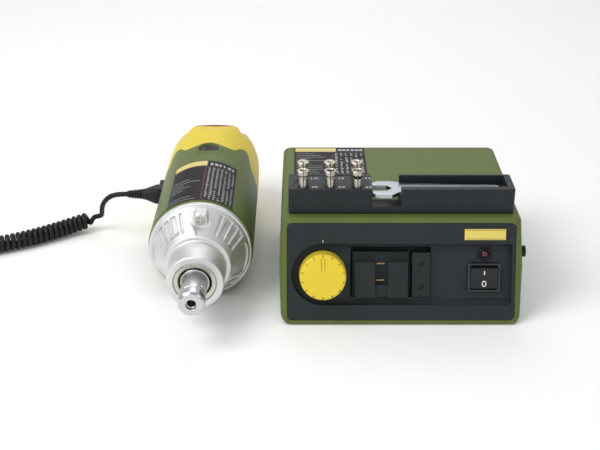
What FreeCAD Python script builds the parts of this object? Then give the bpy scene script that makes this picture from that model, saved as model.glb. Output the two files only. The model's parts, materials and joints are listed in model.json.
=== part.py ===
"""Precision milling spindle with its control unit, in millimetres, +Z up.

The origin is the bottom centre of the set without the loose lead. The control unit stands on its
feet on the right, and the spindle motor lies beside it along Y with its nose towards -Y.
Driving sizes live in the Sizes sheet, derived sizes are formulas below them, and every piece
takes its sizes and its place from those cells.
"""
import FreeCAD, Part
import math
import os
import re

import Sketcher

V = FreeCAD.Vector
doc = FreeCAD.newDocument("MillingSpindle")
sheet = doc.addObject("Spreadsheet::Sheet", "Sizes")

DRIVING = """
spacing 154.2 | motor axis to the middle of the control unit
case_part_half 92.3 | half width of the case at its parting line
case_low_half 91.2 | half width of the case at its base
case_top_half 90.4 | half width of the case at its top
case_deep 170.4 | depth of the case at its base
lean 18 | lean of the front face, degrees from upright
face_long 82.3 | length of the front face along its slope
part_height 41.5 | height of the joint between the half shells
wall 3 | wall of the half shells
case_round 6.5 | rounding of the case's corners and side edges
case_edge 4.5 | rounding of the lid's top edges
foot_out 1.5 | foot below the case
foot_sunk 1 | foot inside its pocket
foot_radius 7 | rubber foot
post_radius 5 | screw post
post_side 80 | screw post from the middle
post_front 50 | front screw posts from the front edge
post_rear 158 | rear screw posts from the front edge
panel_wide 172.2 | front panel
panel_tall 74.3 | front panel along the slope
panel_low 4.2 | panel above the front bottom edge, along the slope
panel_round 4.2 | panel corner
panel_gap 0.15 | clearance of the panel in its frame
tub_deep 6 | depth of the panel's long recess
tub_wall 2.4 | wall behind the recess
tub_radius 23.3 | round end of the recess
tub_mid 39.3 | middle of the recess, along the slope
tub_right 83.3 | right end of the recess from the middle
well_deep 14 | depth of the socket well
well_left 38.1 | socket well from the middle
well_right 22.6 | socket well from the middle
well_low 21.2 | socket well, along the slope
well_high 60 | socket well, along the slope
knob_left 59.3 | knob axis from the middle
knob_radius 18 | knob
knob_tall 17.4 | knob height
knob_gap 0.6 | knob above the recess floor
shaft_radius 3 | potentiometer shaft
run_gap 0.05 | radial clearance of a turning fit
pot_radius 10 | potentiometer can
pot_long 12 | potentiometer can
led_right 63.5 | pilot lamp from the middle
led_high 54.5 | pilot lamp, along the slope
led_radius 4.9 | lamp bezel
lens_radius 2.7 | lamp lens
switch_right 63.2 | switch from the middle
switch_high 36.3 | switch, along the slope
switch_wide 24.7 | switch frame
switch_tall 21.7 | switch frame
switch_deep 18 | switch body behind the recess floor
switch_rim 1.4 | wall of the switch frame
rocker_half 7.9 | rocker, half length
rocker_wide 20.4 | rocker
swing 12 | rocker travel, degrees
badge_wide 31 | name plate
badge_tall 8.3 | name plate
badge_low 66 | name plate, along the slope
badge_thick 0.8 | name plate
badge_right 62.7 | name plate from the middle
tray_wide 170.4 | collet tray
tray_deep 29.6 | collet tray
tray_tall 20.2 | collet tray
tray_back 7.5 | tray behind the top front edge
notch_left 22.2 | tray notch from the middle
notch_right 0.3 | tray notch from the middle
notch_floor 5.7 | plate under the notch
notch_deep 14.4 | plate under the notch
slot_far 80 | spanner slot, right end from the middle
slot_front 6.4 | spanner slot from the tray's front
slot_wide 20.4 | spanner slot
slot_deep 8 | spanner slot
spanner_thick 3 | spanner
jaw_wide 10 | spanner jaw
head_wide 26.6 | spanner head
collet_pitch 20.4 | collets along the tray
row_pitch 16.4 | collet rows
collet_first 74.2 | first collet from the middle
collet_front 5.9 | front row from the tray's front
collet_body 3.5 | collet shank radius
collet_head 4.7 | collet head radius
collet_up 13.6 | collet above the tray
collet_down 12 | collet in its hole
loose_gap 0.15 | radial clearance of a loose fit
inlet_hole_wide 27 | window for the mains inlet
inlet_hole_tall 19.6 | window for the mains inlet
inlet_fit 0.2 | clearance of the mains inlet in its window
inlet_flange_wide 32 | flange of the mains inlet
inlet_flange_tall 24 | flange of the mains inlet
inlet_flange_thick 2.2 | flange of the mains inlet
inlet_deep 20 | body of the mains inlet
post_hole 1.55 | pilot hole in the screw posts
case_screw 1.5 | case screw
case_screw_head 3.2 | head of the case screws
head_gap 0.1 | clearance of a screw head in its hole
foot_side 16 | feet inside the screw posts
foot_front 22 | front feet from the front edge
board_post 3 | posts under the circuit board
board_left 4 | circuit board from the middle
board_front 70 | circuit board from the front edge
board_wide 74 | circuit board
board_deep 64 | circuit board
board_thick 1.6 | circuit board
sink_left 12 | heat sink from the middle
sink_front 112 | back plate of the heat sink from the front edge
sink_wide 40 | heat sink
sink_tall 26 | heat sink
sink_thick 4 | back plate of the heat sink
capacitor_radius 8 | capacitor
capacitor_tall 24 | capacitor
core_left 76 | transformer from the middle
core_front 108 | transformer from the front edge
core_wide 66 | transformer core
core_deep 30 | transformer core
core_tall 55 | transformer core
core_limb 11 | outer limbs and yokes of the transformer core
core_window_tall 33 | windows of the transformer core
winding_out 9 | winding beyond the core, front and back
winding_gap 0.3 | clearance of the winding on the core
block_left 1.5 | socket block from the left of the well
block_wide 42.9 | base plate of the socket block
block_tall 34.3 | base plate of the socket block
block_gap 0.2 | socket block and strip from the lower wall of the well
block_sunk 8 | base plate of the socket block below the panel
cheek_left 2.9 | left cheek from the left of the well
cheek_wide 15.4 | left cheek
cheek_tall 27.4 | cheeks
cheek_sunk 1 | cheeks below the panel
cheek_mid 10 | right cheek from the middle
cheek_mid_wide 15.1 | right cheek
tongue_left 18 | middle step from the left of the well
tongue_wide 10.5 | middle step
tongue_tall 9.6 | middle step
tongue_sunk 3 | middle step below the panel
slit_low 11.6 | lower slit above the bottom of the well
slit_high 24.4 | upper slit above the bottom of the well
slit_left 18.5 | slits from the middle
slit_wide 7 | slits
slit_tall 1.4 | slits
contact_gap 0.2 | contacts above the lower edge of their slit
strip_left 14.3 | strip from the right of the well
strip_wide 14.1 | strip
strip_sunk 4 | strip below the panel
strip_mid 7.4 | strip screws from the right of the well
strip_screw 1.85 | strip screws
strip_low 8.3 | lower strip screw above the bottom of the well
strip_high 25.8 | upper strip screw above the bottom of the well
tray_round 2.5 | upright corners of the tray
hole_gap 0.2 | air under a collet in its hole
slit_collet 0.5 | slits of the collets
knob_notches 14 | notches round the knob
nose_front -136.3 | front of the collet nut
axis_height 41 | motor axis above the surface
body_radius 41 | motor housing
body_wall 3 | motor housing
flange_radius 40.2 | rim of the nose casting
collar_radius 21.5 | clamping collar, 43 mm across
collar_long 25 | clamping collar
collar_start 31.7 | collar front behind the nut's face
flange_start 84.4 | casting rim
nose_turn 4 | turn of the casting's screws about the axis, degrees
nose_screw_ring 33 | screws from the axis
nose_screw_head 4.6 | head of the casting's screws
nose_boss 6 | screw bosses of the casting
flange_end 88.5 | casting rim
bearing_radius 16 | front bearing
bearing_bore 7.5 | front bearing bore
bearing_wide 9 | front bearing
bearing_start 38 | front bearing
cap_start 216 | rear cap joint
motor_long 272.6 | spindle motor
cap_end_radius 37 | rear cap end
cap_flat 32 | top and bottom of the rear cap's end from the axis
cap_flat_start 240 | start of the cap's sloping flats
nut_radius 10 | collet nut
nut_long 17 | collet nut
thread_radius 7 | spindle nose thread
nose_bore 3 | bore of the fitted collet
seat_radius 4.6 | collet seat in the spindle
core_start 118 | stator and armature
core_long 44 | stator and armature
armature_radius 22 | armature
air_gap 0.7 | armature to stator
brush_at 196.2 | brushes
brush_cap_radius 8 | brush caps
brush_boss_wall 1.8 | wall round the brush caps
comm_radius 12 | commutator
rear_bearing_at 224 | rear bearing
rear_bearing_radius 11 | rear bearing
rear_shaft 4 | armature shaft at the rear
fan_at 92 | fan
fan_radius 33 | fan
inlet_at 191.3 | lead inlet
inlet_wide 20 | lead inlet
inlet_tall 18 | lead inlet
inlet_wall 3 | lead inlet
inlet_out 2.6 | inlet beyond the housing
plug_long 14 | plug body beyond the inlet
relief_long 14 | strain relief
cord_radius 2.2 | lead
curl_radius 7.6 | outside of the curly lead
board_low 14 | underside of the circuit board
mains_x 50 | mains inlet from the middle
mains_z 24 | mains inlet
fuse_y 27 | fuse from the front edge
fuse_z 50 | fuse
fuse_radius 3.6 | fuse barrel
fuse_out 2.6 | fuse cap beyond the parting line
end_plug_long 34 | connector on the lead's far end
end_plug_radius 7 | connector on the lead's far end
"""

DERIVED = """
lean_sin = sin(lean * 1deg)
lean_cos = cos(lean * 1deg)
lean_tan = tan(lean * 1deg)
set_wide = body_radius + inlet_out + spacing + case_part_half + fuse_out
motor_x = body_radius + inlet_out - set_wide / 2
unit_x = motor_x + spacing
unit_y = nose_front + 39.6
case_top = face_long * lean_cos
tray_y = unit_y + case_top * lean_tan + tray_back
tray_z = case_top
tray_top = case_top + tray_tall
floor_w = 0 - tub_deep
well_w = 0 - well_deep
slot_z = tray_top - slot_deep
front_in = wall / lean_cos
housing_in = body_radius - body_wall
stator_bore = armature_radius + air_gap
inlet_x = motor_x - body_radius - inlet_out
"""

cells = {}


def fill_sheet():
    """Write one row for each size: its name, its value and what it measures."""
    row = 1
    for line in DRIVING.strip().splitlines():
        front, note = line.split("|")
        name, value = front.split()
        sheet.set("A%d" % row, name)
        sheet.set("B%d" % row, value)
        sheet.set("C%d" % row, note.strip())
        sheet.setAlias("B%d" % row, name)
        cells[name] = row
        row += 1
    for line in DERIVED.strip().splitlines():
        name, rule = line.split(" = ")
        sheet.set("A%d" % row, name)
        sheet.set("B%d" % row, "=" + rule)
        sheet.setAlias("B%d" % row, name)
        cells[name] = row
        row += 1
    doc.recompute()


fill_sheet()


def size(name):
    """Number in a cell of the sheet."""
    return float(sheet.get(name))


def formula(text):
    """Expression with each size's name pointed at the sheet."""
    return re.sub(r"[a-z][a-z_]*", lambda m: "Sizes." + m.group(0) if m.group(0) in cells else m.group(0),
                  str(text))


def bind(item, **rules):
    """Bind properties to expressions; a double underscore stands for a dot."""
    for name, text in rules.items():
        item.setExpression(name.replace("__", "."), formula(text))


def body(label, x="0", y="0", z="0", about=(1, 0, 0), angle="0"):
    """An empty body, placed and turned by expressions."""
    item = doc.addObject("PartDesign::Body", label)
    item.Label = label
    item.Placement = FreeCAD.Placement(V(0, 0, 0), FreeCAD.Rotation(V(*about), 90))
    bind(item, Placement__Base__x=x, Placement__Base__y=y, Placement__Base__z=z,
         Placement__Rotation__Angle=angle)
    return item


def on_unit(label):
    """A body in the control unit's frame: X to the right, Y to the rear, Z up from the surface."""
    return body(label, "unit_x", "unit_y")


def on_panel(label, right="0", high="0", tilt="0"):
    """A body in the front panel's frame: X to the right, Y up the slope, Z out of the face."""
    return body(label, "unit_x + " + right, "unit_y + (%s) * lean_sin" % high, "(%s) * lean_cos" % high,
                angle="90 - lean + " + tilt)


def on_motor(label, start="0"):
    """A body on the motor's axis: Z to the rear from the nut's face, -Y up."""
    return body(label, "motor_x", "nose_front + " + start, "axis_height", angle="-90")


def box(item, x, y, z, wide, deep, tall, cut=False):
    """Add or cut a box between corner x, y, z and its sizes."""
    kind = "PartDesign::SubtractiveBox" if cut else "PartDesign::AdditiveBox"
    solid = item.newObject(kind, item.Label + "_box")
    bind(solid, Placement__Base__x=x, Placement__Base__y=y, Placement__Base__z=z,
         Length=wide, Width=deep, Height=tall)
    doc.recompute()
    return solid


TURNS = {"z": ((0, 0, 1), 0), "y": ((1, 0, 0), -90), "x": ((0, 1, 0), 90), "-x": ((0, 1, 0), -90)}


def rod(item, x, y, z, radius, tall, cut=False, along="z", top=None):
    """Add or cut a cylinder, or a cone when the radius at its top is given."""
    shape = "Cone" if top else "Cylinder"
    kind = "PartDesign::" + ("Subtractive" if cut else "Additive") + shape
    solid = item.newObject(kind, item.Label + "_rod")
    about, turn = TURNS[along]
    solid.Placement = FreeCAD.Placement(V(0, 0, 0), FreeCAD.Rotation(V(*about), turn))
    bind(solid, Placement__Base__x=x, Placement__Base__y=y, Placement__Base__z=z, Height=tall)
    if top:
        bind(solid, Radius1=radius, Radius2=top)
    else:
        bind(solid, Radius=radius)
    doc.recompute()
    return solid


def outline(item, plane, points):
    """A closed sketch of straight sides whose corners are bound to expressions."""
    sketch = item.newObject("Sketcher::SketchObject", item.Label + "_sketch")
    support = [f for f in item.Origin.OriginFeatures if f.Role == plane][0]
    sketch.AttachmentSupport = (support, "")
    sketch.MapMode = "FlatFace"
    count = len(points)
    ring = [V(20 + 9 * math.cos(k * math.tau / count), 9 * math.sin(k * math.tau / count), 0)
            for k in range(count)]
    for k in range(count):
        sketch.addGeometry(Part.LineSegment(ring[k], ring[(k + 1) % count]))
    for k in range(count):
        sketch.addConstraint(Sketcher.Constraint("Coincident", k, 2, (k + 1) % count, 1))
    for k, corner in enumerate(points):
        for kind, rule in zip(("DistanceX", "DistanceY"), corner):
            number = sketch.addConstraint(Sketcher.Constraint(kind, -1, 1, k, 1, 1.0))
            sketch.setExpression("Constraints[%d]" % number, formula(rule))
    doc.recompute()
    return sketch


def turned(item, points, cut=False, plane="XZ_Plane", angle="360"):
    """Turn a profile of (radius, distance) corners about the body's Z axis."""
    sketch = outline(item, plane, points)
    kind = "PartDesign::Groove" if cut else "PartDesign::Revolution"
    solid = item.newObject(kind, item.Label + "_turn")
    solid.Profile = sketch
    solid.ReferenceAxis = (sketch, ["V_Axis"])
    solid.Midplane = True
    bind(solid, Angle=angle)
    doc.recompute()
    return solid


def plate(item, points, thick, plane="XY_Plane", both_ways=False, cut=False):
    """Pad an outline by a thickness, or cut it."""
    sketch = outline(item, plane, points)
    solid = item.newObject("PartDesign::" + ("Pocket" if cut else "Pad"), item.Label + "_pad")
    solid.Profile = sketch
    solid.Midplane = both_ways
    bind(solid, Length=thick)
    doc.recompute()
    return solid


def around(item, feature, count, angle=360):
    """Repeat a feature about the body's Z axis."""
    pattern = item.newObject("PartDesign::PolarPattern", item.Label + "_ring")
    pattern.Originals = [feature]
    axis = [f for f in item.Origin.OriginFeatures if f.Role == "Z_Axis"][0]
    pattern.Axis = (axis, [""])
    pattern.Angle = angle
    pattern.Occurrences = count
    item.Tip = pattern
    doc.recompute()
    return pattern


def rounded(item, radius, wanted):
    """Round the edges of the body's last feature that wanted(edge) picks out."""
    base = item.Tip
    names = ["Edge%d" % (k + 1) for k, edge in enumerate(base.Shape.Edges) if wanted(edge)]
    fillet = item.newObject("PartDesign::Fillet", item.Label + "_round")
    fillet.Base = (base, names)
    bind(fillet, Radius=radius)
    doc.recompute()
    return fillet


def span(edge):
    """How far an edge runs along X, Y and Z."""
    frame = edge.BoundBox
    return frame.XLength, frame.YLength, frame.ZLength


# ---------------------------------------------------------------- control unit: case

def shell_wedge(item, low, high, low_half, high_half, inset, cut=False):
    """A drafted block of the case between two heights, its front leaning back."""
    kind = "PartDesign::SubtractiveWedge" if cut else "PartDesign::AdditiveWedge"
    solid = item.newObject(kind, item.Label + "_wedge")
    solid.Placement = FreeCAD.Placement(V(0, 0, 0), FreeCAD.Rotation(V(1, 0, 0), 90))
    front = " - (%s) / lean_cos" % inset
    bind(solid, Ymin=low, Ymax=high,
         Xmin="(%s) - (%s)" % (inset, low_half), Xmax="(%s) - (%s)" % (low_half, inset),
         X2min="(%s) - (%s)" % (inset, high_half), X2max="(%s) - (%s)" % (high_half, inset),
         Zmin="(%s) - case_deep" % inset, Z2min="(%s) - case_deep" % inset,
         Zmax="0 - (%s) * lean_tan%s" % (low, front), Z2max="0 - (%s) * lean_tan%s" % (high, front))
    doc.recompute()
    return solid


POSTS = [(side, row) for side in ("0 - post_side", "post_side") for row in ("post_front", "post_rear")]


def window_cut(item, shape, right, high, **sizes):
    """Cut a box or cylinder that stands on the panel's face, at a place right and up the slope."""
    cutter = item.newObject("PartDesign::Subtractive" + shape, item.Label + "_window")
    cutter.Placement = FreeCAD.Placement(V(0, 0, 0), FreeCAD.Rotation(V(1, 0, 0), 90))
    bind(cutter, Placement__Rotation__Angle="90 - lean", Placement__Base__x=right,
         Placement__Base__y="(%s) * lean_sin + 3 * wall * lean_cos" % high,
         Placement__Base__z="(%s) * lean_cos - 3 * wall * lean_sin" % high, Height="6 * wall", **sizes)
    doc.recompute()


def panel_opening(item):
    """Cut the window for the front panel, with round corners, through the leaning wall."""
    window_cut(item, "Box", "0 - panel_wide / 2 - panel_gap", "panel_low + panel_round",
               Length="panel_wide + 2 * panel_gap", Width="panel_tall - 2 * panel_round")
    window_cut(item, "Box", "panel_round - panel_wide / 2", "panel_low - panel_gap",
               Length="panel_wide - 2 * panel_round", Width="panel_tall + 2 * panel_gap")
    for right in ("panel_round - panel_wide / 2", "panel_wide / 2 - panel_round"):
        for high in ("panel_low + panel_round", "panel_low + panel_tall - panel_round"):
            window_cut(item, "Cylinder", right, high, Radius="panel_round + panel_gap")


def lower_case():
    """Tub of the case, with screw posts and pockets for the feet."""
    item = on_unit("lower_case")
    shell_wedge(item, "foot_out", "part_height", "case_low_half", "case_part_half", "0")
    rounded(item, "case_round", lambda e: span(e)[2] > 20 or (span(e)[1] > 100 and e.BoundBox.ZMax < 5))
    shell_wedge(item, "foot_out + wall", "part_height", "case_low_half", "case_part_half", "wall", cut=True)
    for side, row in POSTS:
        rod(item, side, row, "foot_out + wall / 2", "post_radius", "part_height - foot_out - wall / 2")
        rod(item, side, row, "foot_out", "post_hole", "part_height", cut=True)
        rod(item, side, row, "foot_out", "case_screw_head + head_gap", "4.2", cut=True)
    for side, row in feet_places():
        rod(item, side, row, "foot_out", "foot_radius + run_gap", "foot_sunk", cut=True)
    for x, y in board_posts():
        rod(item, x, y, "foot_out + wall / 2", "board_post", "board_low - foot_out - wall / 2")
    panel_opening(item)
    inlet_opening(item)
    return item


def feet_places():
    """The four corners where feet are glued."""
    return [(side, row) for side in ("foot_side - post_side", "post_side - foot_side")
            for row in ("foot_front", "case_deep - foot_side")]


def board_posts():
    """Posts under the circuit board."""
    return [(x, y) for x in ("board_left + 6", "board_left + board_wide - 6")
            for y in ("board_front + 6", "board_front + board_deep - 6")]


def inlet_opening(item):
    """Window for the mains inlet in the rear wall."""
    box(item, "mains_x - inlet_hole_wide / 2", "case_deep - 2 * wall", "mains_z - inlet_hole_tall / 2",
        "inlet_hole_wide", "4 * wall", "inlet_hole_tall", cut=True)


def upper_case():
    """Lid of the case, with its own screw posts."""
    item = on_unit("upper_case")
    shell_wedge(item, "part_height", "case_top", "case_part_half", "case_top_half", "0")
    rounded(item, "case_round", lambda e: span(e)[2] > 20)
    rounded(item, "case_edge", lambda e: e.BoundBox.ZMin > size("case_top") - 0.01)
    shell_wedge(item, "part_height", "case_top - wall", "case_part_half", "case_top_half", "wall", cut=True)
    for side, row in POSTS:
        rod(item, side, row, "part_height", "post_radius", "case_top - part_height - wall / 2")
        rod(item, side, row, "part_height", "post_hole", "16", cut=True)
    panel_opening(item)
    rod(item, "case_part_half - 4 * wall", "fuse_y", "fuse_z", "fuse_radius + 0.1", "6 * wall", cut=True,
        along="x")
    return item


# ---------------------------------------------------------------- control unit: front panel

def front_panel():
    """Black panel with the long recess, the deeper socket well and its holes."""
    item = on_panel("front_panel")
    box(item, "0 - panel_wide / 2", "panel_low", "0 - wall", "panel_wide", "panel_tall", "wall")
    rounded(item, "panel_round", lambda e: span(e)[0] < 0.01 and span(e)[1] < 0.01)
    tub(item, "tub_wall", "0 - tub_deep - tub_wall", "tub_deep + tub_wall")
    box(item, "0 - well_left - tub_wall", "well_low - tub_wall", "0 - well_deep - tub_wall",
        "well_left + well_right + 2 * tub_wall", "well_high - well_low + 2 * tub_wall",
        "well_deep")
    tub(item, "0", "0 - tub_deep", "tub_deep", cut=True)
    box(item, "0 - well_left", "well_low", "0 - well_deep", "well_left + well_right",
        "well_high - well_low", "well_deep", cut=True)
    rod(item, "0 - knob_left", "tub_mid", "0 - 3 * tub_deep", "shaft_radius + 1", "3 * tub_deep", cut=True)
    rod(item, "led_right", "led_high", "0 - 3 * tub_deep", "led_radius - 0.6", "3 * tub_deep", cut=True)
    box(item, "switch_right - switch_wide / 2 + 1.2", "switch_high - switch_tall / 2 + 1.2",
        "0 - 3 * tub_deep", "switch_wide - 2.4", "switch_tall - 2.4", "3 * tub_deep", cut=True)
    return item


def tub(item, grow, low, tall, cut=False):
    """Long recess: a round end on the left and a square one on the right."""
    rod(item, "0 - knob_left", "tub_mid", low, "tub_radius + " + grow, tall, cut=cut)
    box(item, "0 - knob_left", "tub_mid - tub_radius - " + grow, low, "knob_left + tub_right + " + grow,
        "2 * (tub_radius + %s)" % grow, tall, cut=cut)


def speed_knob():
    """Yellow knob with grip notches round its rim and a raised pointer."""
    item = on_panel("speed_knob", "0 - knob_left", "tub_mid")
    low = "floor_w + knob_gap"
    high = "floor_w + knob_gap + knob_tall"
    turned(item, [("shaft_radius + run_gap / 10", low), ("knob_radius", low), ("knob_radius - 0.6", high + " - 1.6"),
                  ("knob_radius - 2.2", high), ("0", high), ("0", high + " - 4"),
                  ("shaft_radius + run_gap / 10", high + " - 4")])
    notch = rod(item, "knob_radius + 0.1", "0", high + " - 3", "1", "4", cut=True)
    around(item, notch, int(size("knob_notches")))
    box(item, "0 - 1.6", "knob_radius / 3", high + " - 0.5", "3.2", "knob_radius / 2", "0.9")
    return item


def potentiometer():
    """Control behind the recess floor, its bush reaching through the hole."""
    item = on_panel("potentiometer", "0 - knob_left", "tub_mid")
    back = "floor_w - tub_wall"
    inner = "shaft_radius + run_gap"
    turned(item, [(inner, "floor_w - tub_wall - pot_long"), ("pot_radius", "floor_w - tub_wall - pot_long"),
                  ("pot_radius", back), ("shaft_radius + 0.9", back), ("shaft_radius + 0.9", "floor_w"),
                  (inner, "floor_w")])
    return item


def potentiometer_shaft():
    """Shaft that the knob is pressed on."""
    item = on_panel("potentiometer_shaft", "0 - knob_left", "tub_mid")
    rod(item, "0", "0", "floor_w - tub_wall - pot_long + 0.5", "shaft_radius",
        "pot_long + tub_wall + knob_gap + knob_tall - 4.6")
    return item


def motor_socket_block():
    """Stepped block in the well, with the two slits of the motor's socket."""
    item = on_panel("motor_socket_block")
    low = "well_low + block_gap"
    box(item, "block_left - well_left", low, "well_w", "block_wide", "block_tall", "well_deep - block_sunk")
    box(item, "cheek_left - well_left", low, "well_w", "cheek_wide", "cheek_tall", "well_deep - cheek_sunk")
    box(item, "0 - cheek_mid", low, "well_w", "cheek_mid_wide", "cheek_tall", "well_deep - cheek_sunk")
    box(item, "tongue_left - well_left", low, "well_w", "tongue_wide", "tongue_tall", "well_deep - tongue_sunk")
    for high in ("well_low + slit_low", "well_low + slit_high"):
        box(item, "0 - slit_left", high, "well_w + 2", "slit_wide", "slit_tall", "well_deep", cut=True)
    return item


def socket_contacts():
    """Spring contacts at the bottom of the two slits."""
    item = on_panel("socket_contacts")
    item.AllowCompound = True
    for high in ("well_low + slit_low + contact_gap", "well_low + slit_high + contact_gap"):
        box(item, "0.5 - slit_left", high, "well_w + 2", "slit_wide - 1", "slit_tall - 2 * contact_gap", "2.4")
    return item


def socket_strip():
    """Narrow cover strip beside the block, held by two screws."""
    item = on_panel("socket_strip")
    box(item, "well_right - strip_left", "well_low + block_gap", "well_w", "strip_wide", "block_tall",
        "well_deep - strip_sunk")
    for high in strip_rows():
        rod(item, "well_right - strip_mid", high, "well_w + 3", "strip_screw + run_gap", "well_deep", cut=True)
    return item


def strip_rows():
    """Places of the strip's screws along the slope."""
    return ("well_low + strip_low", "well_low + strip_high")


def strip_screws():
    """Two sunk screws with slots."""
    item = on_panel("strip_screws")
    item.AllowCompound = True
    for high in strip_rows():
        rod(item, "well_right - strip_mid", high, "well_w + 3", "strip_screw", "well_deep - 8.4")
        box(item, "well_right - strip_mid - 1.6", high + " - 0.3", "well_w + well_deep - 6.2", "3.2", "0.6", "2", cut=True)
    return item


def led_bezel():
    """Ring that holds the pilot lamp in the recess floor."""
    item = on_panel("led_bezel", "led_right", "led_high")
    hole = "lens_radius + run_gap"
    turned(item, [(hole, "floor_w - 8"), ("led_radius - 0.7", "floor_w - 8"), ("led_radius - 0.7", "floor_w"),
                  ("led_radius", "floor_w"), ("led_radius - 0.4", "floor_w + 1.5"), (hole, "floor_w + 1.5")])
    return item


def led_lens():
    """Red lens with a low dome."""
    item = on_panel("led_lens", "led_right", "led_high")
    turned(item, [("0", "floor_w - 6"), ("lens_radius", "floor_w - 6"), ("lens_radius", "floor_w + 0.8"),
                  ("lens_radius * 0.6", "floor_w + 1.9"), ("0", "floor_w + 2.2")])
    return item


def switch_frame():
    """Housing of the mains switch, snapped into the recess floor."""
    item = on_panel("switch_frame", "switch_right", "switch_high")
    box(item, "0 - switch_wide / 2", "0 - switch_tall / 2", "floor_w", "switch_wide", "switch_tall", "2.2")
    box(item, "1.3 - switch_wide / 2", "1.3 - switch_tall / 2", "floor_w - switch_deep", "switch_wide - 2.6",
        "switch_tall - 2.6", "switch_deep")
    box(item, "0 - rocker_wide / 2 - 0.2", "switch_rim - switch_tall / 2", "floor_w - 9", "rocker_wide + 0.4",
        "switch_tall - 2 * switch_rim", "12", cut=True)
    for side in ("0 - rocker_wide / 2 - 0.7", "rocker_wide / 2 + 0.1"):
        rod(item, side, "0", "floor_w + 0.2", "1", "0.6", cut=True, along="x")
    return item


def switch_rocker():
    """Rocker with a hollow top and two short trunnions, resting in its off place."""
    item = on_panel("switch_rocker", "switch_right", "switch_high", tilt="swing / 2")
    item.setExpression("Placement.Base.y", formula("unit_y + switch_high * lean_sin - (floor_w + 0.2) * lean_cos"))
    item.setExpression("Placement.Base.z", formula("switch_high * lean_cos + (floor_w + 0.2) * lean_sin"))
    plate(item, [("0 - rocker_half", "3.4"), ("0 - rocker_half", "0 - 1"), ("0 - 4.5", "0 - 5.2"),
                 ("4.5", "0 - 5.2"), ("rocker_half", "0 - 1"), ("rocker_half", "3.4"), ("0", "2.2")],
          "rocker_wide", plane="YZ_Plane", both_ways=True)
    rod(item, "0 - rocker_wide / 2 - 0.5", "0", "0", "0.95", "rocker_wide + 1", along="x")
    return item


def badge_plate():
    """Plain yellow plate above the recess."""
    item = on_panel("badge_plate")
    box(item, "badge_right - badge_wide / 2", "badge_low", "0", "badge_wide", "badge_tall", "badge_thick")
    return item


# ---------------------------------------------------------------- control unit: tray and tools

COLLETS = [("collet_2_35", 1.175, 0, 1), ("collet_3_0", 1.5, 1, 1), ("collet_3_2", 1.6, 2, 1),
           ("collet_4_0", 2.0, 0, 0), ("collet_5_0", 2.5, 1, 0), ("collet_6_0", 3.0, 2, 0)]


def on_tray(label, right="0", back="0", high="0"):
    """A body in the tray's frame: from the middle of its front bottom edge."""
    return body(label, "unit_x + " + right, "tray_y + " + back, "tray_z + " + high)


def collet_place(column, row):
    """Where a collet stands on the tray, from the middle and from the front."""
    return "%d * collet_pitch - collet_first" % column, "%d * row_pitch + collet_front" % row


def collet_tray():
    """Tray with six collet holes, a finger notch and a slot for the spanner."""
    item = on_tray("collet_tray")
    box(item, "0 - tray_wide / 2", "0", "0", "tray_wide", "tray_deep", "tray_tall")
    rounded(item, "tray_round", lambda e: span(e)[2] > 10)
    box(item, "0 - notch_left", "0 - 1", "notch_floor", "notch_left - notch_right", "tray_deep + 2",
        "tray_tall", cut=True)
    box(item, "0 - notch_left", "notch_deep", "0 - 1", "notch_left - notch_right", "tray_deep",
        "tray_tall", cut=True)
    box(item, "0 - notch_right - 1", "slot_front", "tray_tall - slot_deep", "slot_far + notch_right + 1",
        "slot_wide", "2 * slot_deep", cut=True)
    for name, bore, column, row in COLLETS:
        right, back = collet_place(column, row)
        rod(item, right, back, "tray_tall - collet_down - hole_gap", "collet_body + loose_gap", "tray_tall", cut=True)
    return item


def collets():
    """Six collets with their own bores, each lifted out of its hole."""
    items = []
    for name, bore, column, row in COLLETS:
        right, back = collet_place(column, row)
        item = on_tray(name, right, back, "tray_tall - collet_down")
        total = "collet_down + collet_up"
        turned(item, [(bore, "0"), ("collet_body - 0.4", "0"), ("collet_body", "1"),
                      ("collet_body", total + " - 6.6"), ("collet_body - 0.8", total + " - 6.2"),
                      ("collet_body - 0.8", total + " - 5.2"), ("collet_head", total + " - 3.2"),
                      ("collet_head", total + " - 0.6"), ("collet_head - 0.6", total), (bore + 0.6, total),
                      (bore, total + " - 1")])
        for turn in range(3):
            slit = box(item, "0", "0 - slit_collet / 2", "collet_down", "2 * collet_head", "slit_collet",
                       "collet_up + 1", cut=True)
            slit.Placement.Rotation = FreeCAD.Rotation(V(0, 0, 1), 120 * turn + 30)
        items.append(item)
    return items


def spanner():
    """Flat open-jaw spanner: head over the notch, handle in the slot."""
    item = on_tray("spanner", "0", "slot_front + slot_wide / 2 - 2", "tray_tall - slot_deep")
    left = "0 - notch_left + 0.6"
    plate(item, [(left, "0 - head_wide / 2 + 3"), (left + " + 5", "0 - head_wide / 2"),
                 ("0 - notch_right - 7", "0 - head_wide / 2"), ("0 - notch_right - 1.2", "0 - slot_wide / 2 + 2.6"),
                 ("slot_far * 0.4", "0 - 5"), ("slot_far - 6", "0 - 3"), ("slot_far - 3", "1"),
                 ("slot_far - 6", "6"), ("slot_far * 0.4", "8"), ("0 - notch_right - 1.2", "slot_wide / 2 + 1"),
                 ("0 - notch_right - 7", "head_wide / 2"), (left + " + 5", "head_wide / 2"),
                 (left, "head_wide / 2 - 3"), (left, "jaw_wide / 2"), (left + " + 11", "jaw_wide / 2"),
                 (left + " + 15", "0"), (left + " + 11", "0 - jaw_wide / 2"), (left, "0 - jaw_wide / 2")],
          "spanner_thick")
    return item


# ---------------------------------------------------------------- control unit: inside and fasteners

def case_screws():
    """Four long screws from below, up into the lid's posts."""
    item = on_unit("case_screws")
    item.AllowCompound = True
    for side, row in POSTS:
        rod(item, side, row, "foot_out + 1.2", "case_screw_head", "3")
        rod(item, side, row, "foot_out + 4", "case_screw", "part_height - foot_out + 8")
    return item


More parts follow.
